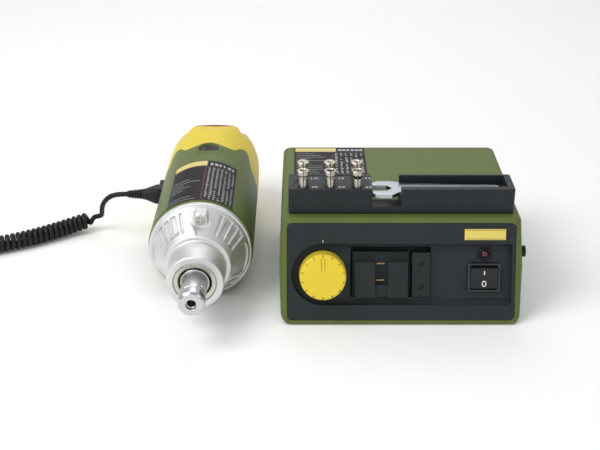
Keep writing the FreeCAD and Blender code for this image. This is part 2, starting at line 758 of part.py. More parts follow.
def rubber_feet():
    """Four feet in shallow pockets."""
    item = on_unit("rubber_feet")
    item.AllowCompound = True
    for side, row in feet_places():
        rod(item, side, row, "0", "foot_radius - 0.8", "foot_out + foot_sunk", top="foot_radius")
    return item


def transformer_core():
    """Laminated core with two windows."""
    item = body("transformer_core", "unit_x - core_left", "unit_y + core_front", "foot_out + wall")
    box(item, "0", "0", "0", "core_wide", "core_deep", "core_tall")
    for x in ("core_limb", "core_wide - 2 * core_limb"):
        box(item, x, "0 - 1", "core_limb", "core_limb", "core_deep + 3", "core_window_tall", cut=True)
    return item


def transformer_winding():
    """Coil round the middle limb of the core."""
    item = body("transformer_winding", "unit_x - core_left", "unit_y + core_front", "foot_out + wall")
    box(item, "core_limb + winding_gap", "0 - winding_out", "core_limb + winding_gap",
        "core_wide - 2 * (core_limb + winding_gap)", "core_deep + 2 * winding_out", "core_window_tall - 2 * winding_gap")
    box(item, "2 * core_limb - winding_gap", "0 - winding_gap", "core_limb", "core_wide - 4 * core_limb + 2 * winding_gap",
        "core_deep + 2 * winding_gap", "core_window_tall + 7", cut=True)
    return item


def circuit_board():
    """Speed control board on four posts."""
    item = on_unit("circuit_board")
    box(item, "board_left", "board_front", "board_low", "board_wide", "board_deep", "board_thick")
    return item


def board_components():
    """Finned aluminium heat sink and a standing capacitor on the board."""
    item = on_unit("board_components")
    item.AllowCompound = True
    box(item, "sink_left", "sink_front", "board_low + board_thick", "sink_wide", "sink_thick", "sink_tall")
    for step in range(6):
        box(item, "sink_left + 7.2 * %d" % step, "sink_front - 12", "board_low + board_thick", "1.8", "13", "sink_tall")
    rod(item, "62", "86", "board_low + board_thick", "capacitor_radius", "capacitor_tall")
    return item


def fuse_holder():
    """Side-mounted fuse: a barrel inside the wall and a cap outside it."""
    item = on_unit("fuse_holder")
    rod(item, "case_part_half - 5.6", "fuse_y", "fuse_z", "fuse_radius", "5.6 + fuse_out / 2", along="x")
    rod(item, "case_part_half", "fuse_y", "fuse_z", "fuse_radius + 0.8", "fuse_out - 0.1", along="x")
    return item


def mains_inlet():
    """Recessed three-pin inlet in the rear wall."""
    item = on_unit("mains_inlet")
    x = "mains_x - inlet_hole_wide / 2 + inlet_fit"
    box(item, x, "case_deep - inlet_deep", "mains_z - inlet_hole_tall / 2 + inlet_fit",
        "inlet_hole_wide - 2 * inlet_fit", "inlet_deep", "inlet_hole_tall - 2 * inlet_fit")
    box(item, "mains_x - inlet_flange_wide / 2", "case_deep", "mains_z - inlet_flange_tall / 2",
        "inlet_flange_wide", "inlet_flange_thick", "inlet_flange_tall")
    box(item, x + " + 2", "case_deep - inlet_deep + 4", "mains_z - inlet_hole_tall / 2 + inlet_fit + 2",
        "inlet_hole_wide - 2 * inlet_fit - 4", "inlet_deep", "inlet_hole_tall - 2 * inlet_fit - 4", cut=True)
    for step in (-7, 0, 7):
        box(item, "mains_x + %s - 1" % step, "case_deep - 18", "mains_z - 2", "2", "14", "4")
    return item


# ---------------------------------------------------------------- spindle motor: nose

def nose_casting():
    """Cast nose: clamping collar, dished cone, rim and the bearing seat."""
    item = on_motor("nose_casting")
    end = "collar_start + collar_long"
    seat = "bearing_start + bearing_wide"
    turned(item, [("bearing_radius", "collar_start"), ("collar_radius - 1", "collar_start"),
                  ("collar_radius", "collar_start + 1"), ("collar_radius", end), ("collar_radius + 4", end + " + 3"),
                  ("collar_radius + 10.5", end + " + 14"), ("flange_radius - 3", "flange_start - 3"),
                  ("flange_radius", "flange_start"), ("flange_radius", "flange_end"),
                  ("flange_radius - 3", "flange_end"), ("flange_radius - 4.4", "flange_start + 1"),
                  ("collar_radius + 7", end + " + 17"), ("collar_radius - 2", end + " + 5"),
                  ("bearing_radius - 3.5", end + " - 1"), ("bearing_radius - 3.5", seat), ("bearing_radius", seat)])
    for x, y in nose_screw_places():
        rod(item, x, y, "flange_start - 14", "nose_boss", "18")
        rod(item, x, y, "flange_start - 15", "2.05", "22", cut=True)
        rod(item, x, y, "flange_start - 20", "nose_screw_head + 0.4", "6", cut=True)
    return item


def nose_screw_places():
    """The casting's two screws, above and below the axis, on the motor's X and Y."""
    return [("0 - (%s) * sin(nose_turn * 1deg)" % ring, "(%s) * cos(nose_turn * 1deg)" % ring)
            for ring in ("0 - nose_screw_ring", "nose_screw_ring")]


def nose_screws():
    """Two screws that hold the casting to the housing."""
    item = on_motor("nose_screws")
    item.AllowCompound = True
    for x, y in nose_screw_places():
        rod(item, x, y, "flange_start - 17", "nose_screw_head", "3")
        rod(item, x, y, "flange_start - 14", "2", "17")
        box(item, x + " - 3", y + " - 0.5", "flange_start - 17.5", "6", "1", "1.7", cut=True)
    return item


def bearing_outer(label, start, radius, wide):
    """Outer ring of a ball bearing, grooved for its balls."""
    item = on_motor(label, start)
    turned(item, [(radius + " - 2.6", "0"), (radius + " - run_gap", "0"), (radius + " - run_gap", wide),
                  (radius + " - 2.6", wide), (radius + " - 2.6", wide + " - 2"), (radius + " - 1.8", wide + " / 2"),
                  (radius + " - 2.6", "2")])
    return item


def bearing_inner(label, start, bore, wide):
    """Inner ring of a ball bearing."""
    item = on_motor(label, start)
    turned(item, [(bore + " + 0.001", "0"), (bore + " + 2.2", "0"), (bore + " + 2.2", "2"),
                  (bore + " + 1.6", wide + " / 2"), (bore + " + 2.2", wide + " - 2"), (bore + " + 2.2", wide),
                  (bore + " + 0.001", wide)])
    return item


def front_bearing_balls():
    """Ten balls in the front bearing's grooves, each its own solid."""
    ring = (size("bearing_radius") - 2.6 + size("bearing_bore") + 2.2) / 2
    middle = size("bearing_start") + size("bearing_wide") / 2
    radius = (size("bearing_radius") - size("bearing_bore") - 4.8) / 2 + 0.45
    balls = []
    for k in range(10):
        turn = k * math.tau / 10
        balls.append(Part.makeSphere(radius, V(ring * math.cos(turn), ring * math.sin(turn), middle)))
    item = doc.addObject("Part::Feature", "front_bearing_balls")
    item.Shape = Part.makeCompound(balls)
    item.Placement = FreeCAD.Placement(V(size("motor_x"), size("nose_front"), size("axis_height")),
                                       FreeCAD.Rotation(V(1, 0, 0), -90))
    return item


def spindle():
    """Spindle with the collet seat in its nose and the armature shaft behind."""
    item = on_motor("spindle")
    turned(item, [("seat_radius", "4"), ("thread_radius - 0.6", "4"), ("thread_radius", "4.8"),
                  ("thread_radius", "nut_long + 0.1"), ("bearing_bore + 2", "nut_long + 0.3"),
                  ("bearing_bore + 2", "bearing_start"), ("bearing_bore", "bearing_start"),
                  ("bearing_bore", "bearing_start + bearing_wide + 20"), ("6", "bearing_start + bearing_wide + 20"),
                  ("6", "brush_at + 10"), ("rear_shaft", "brush_at + 10"), ("rear_shaft", "rear_bearing_at + 9"),
                  ("0", "rear_bearing_at + 9"), ("0", "28"), ("seat_radius", "28")])
    return item


def collet_nut():
    """Round union nut with a chamfered mouth."""
    item = on_motor("collet_nut")
    turned(item, [("seat_radius + 0.2", "2.6"), ("seat_radius + 0.2", "2.2"), ("nut_radius - 2.8", "0"),
                  ("nut_radius - 1.4", "0"), ("nut_radius", "2"), ("nut_radius", "nut_long"),
                  ("thread_radius + 0.02", "nut_long"), ("thread_radius + 0.02", "3.6"),
                  ("seat_radius + 0.2", "3.6")])
    return item


def nose_collet():
    """Fitted collet in the spindle's nose."""
    item = on_motor("nose_collet")
    turned(item, [("nose_bore", "2.4"), ("nose_bore + 0.4", "2"), ("seat_radius - 0.3", "2"),
                  ("seat_radius - 0.02", "2.6"), ("seat_radius - 0.02", "27"), ("nose_bore", "27")])
    return item


# ---------------------------------------------------------------- spindle motor: body

def motor_housing():
    """Moulded housing tube with bores for the brushes and a window for the lead inlet."""
    item = on_motor("motor_housing")
    turned(item, [("housing_in", "flange_end"), ("body_radius - 1", "flange_end"), ("body_radius", "flange_end + 2"),
                  ("body_radius", "cap_start"), ("housing_in", "cap_start")])
    for low in ("0 - body_radius + 0.4", "15"):
        rod(item, "0", low, "brush_at", "brush_cap_radius + run_gap + brush_boss_wall", "body_radius - 15.4",
            along="y")
    rod(item, "0", "0 - body_radius - 1", "brush_at", "brush_cap_radius + run_gap", "2 * body_radius + 2",
        cut=True, along="y")
    box(item, "0 - body_radius - 5", "0 - inlet_tall / 2 - 0.1", "inlet_at - inlet_wide / 2 - 0.1", "15",
        "inlet_tall + 0.2", "inlet_wide + 0.2", cut=True)
    return item


def rear_cap():
    """Rear cap that tapers to its end and carries the rear bearing."""
    item = on_motor("rear_cap")
    turned(item, [("housing_in", "cap_start"), ("body_radius", "cap_start"), ("body_radius", "cap_start + 14"),
                  ("body_radius - 0.6", "motor_long - 20"), ("cap_end_radius + 1", "motor_long - 5"),
                  ("cap_end_radius", "motor_long - 1.5"), ("cap_end_radius - 2", "motor_long"),
                  ("0", "motor_long"), ("0", "motor_long - 3"), ("cap_flat - 4", "motor_long - 3"),
                  ("body_radius - 8", "motor_long - 16"), ("body_radius - 6", "cap_flat_start"),
                  ("housing_in", "cap_start + 14")])
    for way in ("", "0 - "):
        plate(item, [(way + "body_radius * 1.2", "cap_flat_start"), (way + "body_radius", "cap_flat_start"),
                     (way + "cap_flat", "motor_long"), (way + "body_radius * 1.2", "motor_long + 1")],
              "4 * body_radius", plane="YZ_Plane", both_ways=True, cut=True)
    return item


def bearing_bracket():
    """Spoked plate behind the brushes that seats the rear bearing."""
    item = on_motor("bearing_bracket", "rear_bearing_at")
    turned(item, [("rear_bearing_radius", "0"), ("rear_bearing_radius + 4", "0"),
                  ("rear_bearing_radius + 4", "9"), ("rear_bearing_radius - 3", "9"), ("rear_bearing_radius - 3", "7"),
                  ("rear_bearing_radius", "7")])
    arm = box(item, "rear_bearing_radius + 3", "0 - 5", "2", "housing_in - rear_bearing_radius - 3.5", "10", "4")
    around(item, arm, 4)
    return item


def stator_core():
    """Stator ring in the housing."""
    item = on_motor("stator_core", "core_start")
    turned(item, [("stator_bore", "0"), ("housing_in - 0.2", "0"), ("housing_in - 0.2", "core_long"),
                  ("stator_bore", "core_long")])
    for side in ("0 - 34", "22.4"):
        box(item, side, "0 - 10", "0 - 1", "11.6", "20", "core_long + 2", cut=True)
    return item


def field_coils():
    """Two field windings in the stator's pockets."""
    item = on_motor("field_coils", "core_start")
    item.AllowCompound = True
    for side in ("0 - 33.7", "25"):
        box(item, side, "0 - 9.7", "0 - 7", "8.7", "19.4", "core_long + 14")
    return item


def armature_core():
    """Slotted armature on the shaft."""
    item = on_motor("armature_core", "core_start")
    turned(item, [("6.001", "0"), ("armature_radius", "0"), ("armature_radius", "core_long"), ("6.001", "core_long")])
    slit = box(item, "armature_radius - 8", "0 - 1.5", "0 - 1", "9", "3", "core_long + 2", cut=True)
    around(item, slit, 12)
    return item


def armature_winding():
    """Winding heads at both ends of the armature."""
    item = on_motor("armature_winding", "core_start")
    item.AllowCompound = True
    for low, high in (("0 - 9", "0"), ("core_long", "core_long + 11")):
        turned(item, [("6.001", low), ("armature_radius - 6", low), ("armature_radius - 2", "(%s + %s) / 2" % (low, high)),
                      ("armature_radius - 3", high), ("6.001", high)])
    return item


def commutator():
    """Copper drum under the brushes."""
    item = on_motor("commutator", "brush_at - 9")
    turned(item, [("6.001", "0"), ("comm_radius + 1.2", "0"), ("comm_radius + 1.2", "1.6"), ("comm_radius", "1.6"),
                  ("comm_radius", "18"), ("6.001", "18")])
    bar = box(item, "comm_radius - 1", "0 - 0.25", "1.6", "2", "0.5", "17", cut=True)
    around(item, bar, 16)
    return item


def cooling_fan():
    """Radial fan behind the nose."""
    item = on_motor("cooling_fan", "fan_at")
    turned(item, [("6.001", "0"), ("11", "0"), ("11", "2"), ("fan_radius", "2"), ("fan_radius", "3.6"),
                  ("11", "3.6"), ("11", "12"), ("6.001", "12")])
    blade = box(item, "10", "0 - 0.8", "3", "fan_radius - 10.5", "1.6", "9")
    around(item, blade, 11)
    return item


def brush_part(label, low, high, draw):
    """Two mirrored pieces of the brush gear, above and below the commutator."""
    item = on_motor(label)
    item.AllowCompound = True
    draw(item, "0 - (%s)" % high, "(%s) - (%s)" % (high, low))
    draw(item, low, "(%s) - (%s)" % (high, low))
    return item


def brush_gear():
    """Brush holders, carbon brushes, springs and caps."""
    holder = brush_part("brush_holders", "14", "body_radius - 4",
                        lambda item, low, tall: rod(item, "0", low, "brush_at", "brush_cap_radius", tall, along="y"))
    box(holder, "0 - 3.1", "0 - body_radius", "brush_at - 4.1", "6.2", "2 * body_radius", "8.2", cut=True)
    brushes = brush_part("carbon_brushes", "comm_radius + 0.05", "26",
                         lambda item, low, tall: box(item, "0 - 3", low, "brush_at - 4", "6", tall, "8"))
    springs = brush_part("brush_springs", "26", "body_radius - 4",
                         lambda item, low, tall: rod(item, "0", low, "brush_at", "2.4", tall, along="y"))
    caps = brush_part("brush_caps", "body_radius - 4", "body_radius - 1.6",
                      lambda item, low, tall: rod(item, "0", low, "brush_at", "brush_cap_radius", tall, along="y"))
    box(caps, "0 - 5", "0 - body_radius", "brush_at - 0.6", "10", "3", "1.2", cut=True)
    box(caps, "0 - 5", "body_radius - 3", "brush_at - 0.6", "10", "3", "1.2", cut=True)
    return [holder, brushes, springs, caps]


def lead_inlet():
    """Socket in the side of the housing for the lead."""
    item = body("lead_inlet", "inlet_x", "nose_front + inlet_at", "axis_height")
    box(item, "0", "0 - inlet_wide / 2", "0 - inlet_tall / 2", "12", "inlet_wide", "inlet_tall")
    box(item, "0 - 1", "inlet_wall - inlet_wide / 2", "inlet_wall - inlet_tall / 2", "9",
        "inlet_wide - 2 * inlet_wall", "inlet_tall - 2 * inlet_wall", cut=True)
    return item


# ---------------------------------------------------------------- loose lead

def lead_plug():
    """Moulded plug with a tongue in the inlet and a ribbed strain relief."""
    item = body("lead_plug", "inlet_x", "nose_front + inlet_at", "axis_height")
    box(item, "0 - plug_long", "1 - inlet_wide / 2", "1 - inlet_tall / 2", "plug_long", "inlet_wide - 2",
        "inlet_tall - 2")
    rounded(item, "2.5", lambda e: span(e)[0] > 5)
    box(item, "0 - 1", "inlet_wall - inlet_wide / 2 + 0.15", "inlet_wall - inlet_tall / 2 + 0.15", "8.5",
        "inlet_wide - 2 * inlet_wall - 0.3", "inlet_tall - 2 * inlet_wall - 0.3")
    rod(item, "0 - plug_long", "0", "0", "5.6", "relief_long", along="-x", top="cord_radius + 1")
    return item


# Route of the straight stretch, from the strain relief down towards the surface.
RUN = [(-7, 0, 0), (-15, 0.5, -2), (-21.5, 2.5, -8.5), (-24.5, 6.5, -16.5), (-25.5, 11, -24)]
CURL = [(0, 0, 0), (-11, -2.5, -3.2), (-23, -7, -5.6), (-38, -18, -6.4), (-56, -31, -6.5), (-78, -43, -6.5),
        (-102, -53, -6.5), (-126, -60, -6.5), (-150, -64, -6.5)]
TAIL = [(-9, -2, -0.1), (-18, -4.5, -0.2), (-28, -6, -0.3)]


def rounded_path(points):
    """Straight runs joined by tangent arcs as large as their runs allow."""
    edges = []
    at = points[0]
    for before, corner, after in zip(points, points[1:], points[2:]):
        back = before - corner
        ahead = after - corner
        turn = math.pi - back.getAngle(ahead)
        reach = 0.45 * min(back.Length, ahead.Length)
        back.normalize()
        ahead.normalize()
        start = corner + back * reach
        end = corner + ahead * reach
        radius = reach / math.tan(turn / 2)
        print("arc radius %.1f" % radius)
        middle = (back + ahead).normalize()
        touch = corner + middle * (radius / math.cos(turn / 2) - radius)
        edges.append(Part.LineSegment(at, start).toShape())
        edges.append(Part.Arc(start, touch, end).toShape())
        at = end
    edges.append(Part.LineSegment(at, points[-1]).toShape())
    return Part.Wire(edges)


def tube(label, points, radius):
    """A round tube along a path, its volume compared with its section times its length."""
    path = rounded_path(points)
    direction = path.Edges[0].tangentAt(path.Edges[0].FirstParameter)
    circle = Part.Wire(Part.Circle(points[0], direction, radius).toShape())
    shape = path.makePipeShell([circle], True, False)
    ideal = math.pi * radius ** 2 * path.Length
    print(label, "length %.1f" % path.Length, "volume ratio %.4f" % (shape.Volume / ideal))
    item = doc.addObject("Part::Feature", label)
    item.Shape = shape
    return item


def loose_lead():
    """Straight stretch, curled stretch, tail and the plug on its far end."""
    exit_x = size("inlet_x") - size("plug_long") - size("relief_long")
    start = V(exit_x, size("nose_front") + size("inlet_at"), size("axis_height"))
    run = [start] + [start + V(*step) for step in RUN]
    curl_start = run[-1] + V(-1.2, 2.2, -2.6)
    run.append(curl_start)
    curl = [curl_start + V(*step) for step in CURL]
    tail = [curl[-1]] + [curl[-1] + V(*step) for step in TAIL]
    items = [tube("lead_run", run, size("cord_radius")), tube("lead_curl", curl, size("curl_radius")),
             tube("lead_tail", tail, size("cord_radius"))]
    print("curl heights", curl[0].z, curl[-1].z, "tail end", tail[-1])
    return items



def lead_end_plug(end):
    """Round connector lying on the surface at the lead's far end."""
    item = doc.addObject("PartDesign::Body", "lead_end_plug")
    item.Label = "lead_end_plug"
    before = V(*TAIL[-2]) - V(*TAIL[-1])
    heading = math.degrees(math.atan2(-before.y, -before.x))
    item.Placement = FreeCAD.Placement(end, FreeCAD.Rotation(V(0, 0, 1), heading) * FreeCAD.Rotation(V(0, 1, 0), 90))
    rod(item, "0", "0", "0", "cord_radius + 1", "12", top="end_plug_radius - 1")
    rod(item, "0", "0", "12", "end_plug_radius", "end_plug_long - 12")
    rod(item, "0", "0", "end_plug_long - 3", "end_plug_radius - 1.6", "10", cut=True)
    return item


def build():
    """Make every piece and return them."""
    made = [lower_case(), upper_case(), front_panel(), speed_knob(), potentiometer(), potentiometer_shaft(),
            motor_socket_block(), socket_contacts(), socket_strip(), strip_screws(), led_bezel(), led_lens(),
            switch_frame(), switch_rocker(), badge_plate(), collet_tray(), spanner(),
            case_screws(), rubber_feet(), transformer_core(), transformer_winding(), circuit_board(),
            board_components(), fuse_holder(), mains_inlet(), nose_casting(), nose_screws(),
            bearing_outer("front_bearing_outer", "bearing_start", "bearing_radius", "bearing_wide"),
            bearing_inner("front_bearing_inner", "bearing_start", "bearing_bore", "bearing_wide"),
            front_bearing_balls(), spindle(), collet_nut(), nose_collet(), motor_housing(), rear_cap(),
            bearing_bracket(), bearing_outer("rear_bearing_outer", "rear_bearing_at", "rear_bearing_radius", "7"),
            bearing_inner("rear_bearing_inner", "rear_bearing_at", "rear_shaft", "7"),
            stator_core(), field_coils(), armature_core(), armature_winding(), commutator(), cooling_fan(),
            lead_inlet(), lead_plug()]
    made += collets() + brush_gear() + loose_lead()
    made.append(lead_end_plug(size_end()))
    return made


def size_end():
    """Where the tail of the lead ends."""
    path = doc.getObject("lead_tail").Shape
    return path.Faces[-1].CenterOfMass


def check(items):
    """Stop on a failed feature or a shape that is empty or not valid."""
    doc.recompute()
    for item in doc.Objects:
        if "Invalid" in item.State or "Error" in item.State:
            raise RuntimeError("failed: %s %s" % (item.Name, item.State))
    for item in items:
        if item.Shape.isNull() or not item.Shape.isValid():
            raise RuntimeError("bad shape: " + item.Label)


pieces = build()
check(pieces)
os.makedirs("parts", exist_ok=True)
for piece in pieces:
    piece.Shape.exportStep("parts/%s.step" % piece.Label)
print(len(pieces), "nodes")
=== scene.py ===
"""Precision milling spindle, its curly lead and its control unit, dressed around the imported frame."""
import json
import math

import bmesh
import bpy
import numpy as np
from mathutils import Matrix, Vector

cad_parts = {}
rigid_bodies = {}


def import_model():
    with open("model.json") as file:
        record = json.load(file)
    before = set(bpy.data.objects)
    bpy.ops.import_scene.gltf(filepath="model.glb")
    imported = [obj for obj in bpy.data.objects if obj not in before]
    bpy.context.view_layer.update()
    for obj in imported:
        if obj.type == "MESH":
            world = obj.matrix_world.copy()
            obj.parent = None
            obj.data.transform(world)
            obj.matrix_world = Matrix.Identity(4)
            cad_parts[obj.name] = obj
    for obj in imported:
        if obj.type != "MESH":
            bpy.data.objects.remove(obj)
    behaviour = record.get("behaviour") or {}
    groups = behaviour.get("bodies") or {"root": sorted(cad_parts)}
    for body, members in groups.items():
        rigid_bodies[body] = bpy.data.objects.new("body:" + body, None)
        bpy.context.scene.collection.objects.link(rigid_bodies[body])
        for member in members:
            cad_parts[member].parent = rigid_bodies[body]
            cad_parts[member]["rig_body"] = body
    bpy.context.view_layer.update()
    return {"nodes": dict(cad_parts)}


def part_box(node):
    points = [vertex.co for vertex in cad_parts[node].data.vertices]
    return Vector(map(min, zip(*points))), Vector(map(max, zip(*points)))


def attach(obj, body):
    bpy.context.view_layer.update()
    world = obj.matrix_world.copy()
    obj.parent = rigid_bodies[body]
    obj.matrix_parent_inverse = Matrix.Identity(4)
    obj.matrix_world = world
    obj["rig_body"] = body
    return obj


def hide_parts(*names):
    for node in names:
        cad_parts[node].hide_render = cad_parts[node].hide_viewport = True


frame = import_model()


# ------------------------------------------------------------------ camera
# A long lens on a stand in front of the set, tipped down so that the tops of both units show.

VIEW_PITCH = math.radians(26)
VIEW_PLACE = Vector((-0.02505, -0.8299, 0.4428))
VIEW_LENS = 67.36

camera = bpy.data.objects.new("camera", bpy.data.cameras.new("camera"))
camera.data.lens = VIEW_LENS
camera.data.sensor_width = 36
camera.location = VIEW_PLACE
camera.rotation_euler = (math.pi / 2 - VIEW_PITCH, 0, 0)
bpy.context.scene.collection.objects.link(camera)
bpy.context.scene.camera = camera


# ------------------------------------------------------------------ studio
# A pale bench that sweeps up behind the set, one large soft light at the upper left, a weaker one
# at the right and a strip behind the camera for the highlights in the dark plastic.

BENCH_COLOUR = (0.95, 0.95, 0.95)
BENCH_HALF = 3.0
SWEEP_START, SWEEP_RADIUS = 1.2, 0.8


def bench_grid(steps):
    """Points of the bench: flat up to the sweep, then a quarter turn, then upright."""
    turn = np.linspace(0, math.pi / 2, steps)
    along = np.concatenate([[-BENCH_HALF], SWEEP_START + SWEEP_RADIUS * np.sin(turn),
                            [SWEEP_START + SWEEP_RADIUS]])
    up = np.concatenate([[0], SWEEP_RADIUS * (1 - np.cos(turn)), [BENCH_HALF]])
    side = np.array([-BENCH_HALF, BENCH_HALF])
    return np.stack([np.repeat(side[None], len(along), 0), np.repeat(along[:, None], 2, 1),
                     np.repeat(up[:, None], 2, 1)], -1)


def grid_faces(rows, columns, wrap_rows=False, wrap_columns=False):
    """Quads between neighbouring points of a grid of rows and columns, wrapped where asked."""
    r = np.arange(rows if wrap_rows else rows - 1)[:, None]
    c = np.arange(columns if wrap_columns else columns - 1)[None]
    r2, c2 = (r + 1) % rows, (c + 1) % columns
    return np.stack([r * columns + c, r * columns + c2, r2 * columns + c2, r2 * columns + c], -1).reshape(-1, 4)


def weld(mesh, reach, outwards=False):
    """Join a mesh's corners that lie within a reach, and turn its faces outwards if asked."""
    shell = bmesh.new()
    shell.from_mesh(mesh)
    bmesh.ops.remove_doubles(shell, verts=shell.verts, dist=reach)
    if outwards:
        bmesh.ops.recalc_face_normals(shell, faces=shell.faces)
    shell.to_mesh(mesh)
    shell.free()


def put_mesh(name, points, faces, smooth=True):
    """A linked object with the given points and faces, its faces turned outwards."""
    mesh = bpy.data.meshes.new(name)
    mesh.from_pydata(points.reshape(-1, 3).tolist(), [], [list(f) for f in faces])
    weld(mesh, 1e-7, outwards=True)
    mesh.polygons.foreach_set("use_smooth", np.full(len(mesh.polygons), smooth))
    item = bpy.data.objects.new(name, mesh)
    bpy.context.scene.collection.objects.link(item)
    return item


bench_points = bench_grid(24)
bench = put_mesh("bench", bench_points, grid_faces(*bench_points.shape[:2]))
bench_look = bpy.data.materials.new("bench")
bench_look.use_nodes = True
bench_look.node_tree.nodes["Principled BSDF"].inputs["Base Color"].default_value = (*BENCH_COLOUR, 1)
bench_look.node_tree.nodes["Principled BSDF"].inputs["Roughness"].default_value = 0.9
bench.data.materials.append(bench_look)

sky = bpy.data.worlds.new("sky")
sky.use_nodes = True
sky.node_tree.nodes["Background"].inputs["Color"].default_value = (1, 1, 1, 1)
sky.node_tree.nodes["Background"].inputs["Strength"].default_value = 0.5
bpy.context.scene.world = sky
bpy.context.scene.view_settings.view_transform = "Standard"

LAMPS = [("key", (-0.9, -0.5, 1.2), 1.0, 14.0), ("fill", (1.1, -0.9, 0.9), 0.9, 2.0),
         ("strip", (0.1, -1.5, 1.1), 0.8, 3.0), ("rear", (0.0, 1.0, 1.1), 0.9, 4.0)]
for name, place, wide, power in LAMPS:
    lamp = bpy.data.objects.new("lamp_" + name, bpy.data.lights.new(name, "AREA"))
    lamp.data.shape = "DISK"
    lamp.data.size = wide
    lamp.data.energy = power
    lamp.location = place
    lamp.rotation_euler = (Vector((0, 0, 0.03)) - Vector(place)).to_track_quat("-Z", "Y").to_euler()
    bpy.context.scene.collection.objects.link(lamp)


# ------------------------------------------------------------------ curly lead
# A round rubber cord, wound into a spring over most of its length. It leaves the strain relief
# straight, drops to the bench and lies there in a loose bend, and a connector ends it.

MM = 0.001
CORD_RADIUS = 2.2 * MM
COIL_RADIUS = 5.3 * MM
COIL_PITCH = 4.75 * MM
TURN_POINTS = 14
FIRST_PITCH = 19 * MM
FADE_TURNS = 1.3

relief_low, relief_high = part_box("lead_plug")
lead_start = Vector((relief_low.x, (relief_low.y + relief_high.y) / 2, (relief_low.z + relief_high.z) / 2))

RUN = [(0, 0, 0), (-7, 0, 0), (-15, 0.5, -2), (-21.5, 2.5, -8.5), (-24.5, 6.5, -16.5), (-25.5, 11, -24)]
COIL_AT = (-26.7, 13.2, -26.6)
COIL = [(0, 0, 0), (-11, -2.5, -3.2), (-23, -7, -5.6), (-38, -18, -6.4), (-56, -31, -6.5), (-78, -43, -6.5),
        (-102, -53, -6.5), (-126, -60, -6.5), (-150, -64, -6.5)]
TAIL = [(-9, -2, -0.1), (-18, -4.5, -0.2), (-28, -6, -0.3)]


def smooth_line(name, points):
    """A curve of one open quadratic NURBS spline through the pull of its control points."""
    curve = bpy.data.curves.new(name, "CURVE")
    curve.dimensions = "3D"
    spline = curve.splines.new("NURBS")
    spline.points.add(len(points) - 1)
    spline.points.foreach_set("co", np.concatenate([points, np.ones((len(points), 1))], 1).ravel())
    spline.order_u = 3
    spline.use_endpoint_u = True
    spline.resolution_u = 6
    return curve


def points_along(curve, count):
    """Evenly spaced points of a curve's own line, and their unit directions."""
    probe = bpy.data.objects.new("probe", curve)
    mesh = bpy.data.meshes.new_from_object(probe)
    line = np.zeros(len(mesh.vertices) * 3)
    mesh.vertices.foreach_get("co", line)
    line = line.reshape(-1, 3)
    bpy.data.objects.remove(probe)
    bpy.data.meshes.remove(mesh)
    run = np.concatenate([[0], np.cumsum(np.linalg.norm(np.diff(line, axis=0), axis=1))])
    at = np.linspace(0, run[-1], count)
    even = np.stack([np.interp(at, run, line[:, k]) for k in range(3)], 1)
    ahead = np.gradient(even, axis=0)
    return even, ahead / np.linalg.norm(ahead, axis=1)[:, None], run[-1]


def coil_points(axis_points):
    """Spring round a line: axis + r (side cos t + up sin t); at both ends r fades as the pitch opens."""
    curve = smooth_line("coil_axis", axis_points)
    length = points_along(curve, 2)[2]
    turns = (length - (FIRST_PITCH - COIL_PITCH) * FADE_TURNS) / COIL_PITCH
    turn = np.linspace(0, turns, int(turns * TURN_POINTS))
    fade = np.clip(np.minimum(turn, turns - turn) / FADE_TURNS, 0, 1)
    fade = fade * fade * (3 - 2 * fade)
    advance = np.cumsum(COIL_PITCH + (FIRST_PITCH - COIL_PITCH) * (1 - fade))
    advance = (advance - advance[0]) / (advance[-1] - advance[0])
    axis, ahead, length = points_along(curve, 400)
    even = np.linspace(0, 1, 400)
    axis = np.stack([np.interp(advance, even, axis[:, k]) for k in range(3)], 1)
    ahead = np.stack([np.interp(advance, even, ahead[:, k]) for k in range(3)], 1)
    side = np.cross(ahead, (0, 0, 1.0))
    side /= np.linalg.norm(side, axis=1)[:, None]
    up = np.cross(side, ahead)
    angle = math.tau * turn
    radius = (COIL_RADIUS * fade)[:, None]
    return axis + radius * (side * np.cos(angle)[:, None] + up * np.sin(angle)[:, None])


start = np.array(lead_start)
run_points = start + MM * np.array(RUN)
coil_axis = start + MM * (np.array(COIL_AT) + np.array(COIL))
tail_points = coil_axis[-1] + MM * np.array(TAIL)
lead_line = np.concatenate([run_points, coil_points(coil_axis), tail_points])
lead_curve = smooth_line("curly_lead", lead_line)
lead_length = points_along(lead_curve, 2)[2]
lead_curve.bevel_depth = CORD_RADIUS
lead_curve.bevel_resolution = 3
lead_curve.resolution_u = 3
lead = bpy.data.objects.new("curly_lead", lead_curve)
bpy.context.scene.collection.objects.link(lead)


def node_of(look, kind, place=(0, 0), **values):
    """A shader node of a look, with the named sockets or properties set."""
    node = look.node_tree.nodes.new(kind)
    node.location = place
    for name, value in values.items():
        if hasattr(node, name):
            setattr(node, name, value)
        else:
            node.inputs[name.replace("_", " ")].default_value = value
    return node


def plain_look(name, colour, roughness, metallic=0.0, **extra):
    """A material with one shader, its constants set on the shader's own sockets."""
    look = bpy.data.materials.new(name)
    look.use_nodes = True
    shader = look.node_tree.nodes["Principled BSDF"]
    shader.inputs["Base Color"].default_value = (*colour, 1)
    shader.inputs["Roughness"].default_value = roughness
    shader.inputs["Metallic"].default_value = metallic
    for socket, value in extra.items():
        shader.inputs[socket.replace("_", " ")].default_value = value
    return look


def join(look, source, socket, target, into):
    """Link a node's output to another's input, both by name."""
    look.node_tree.links.new(source.outputs[socket], target.inputs[into])


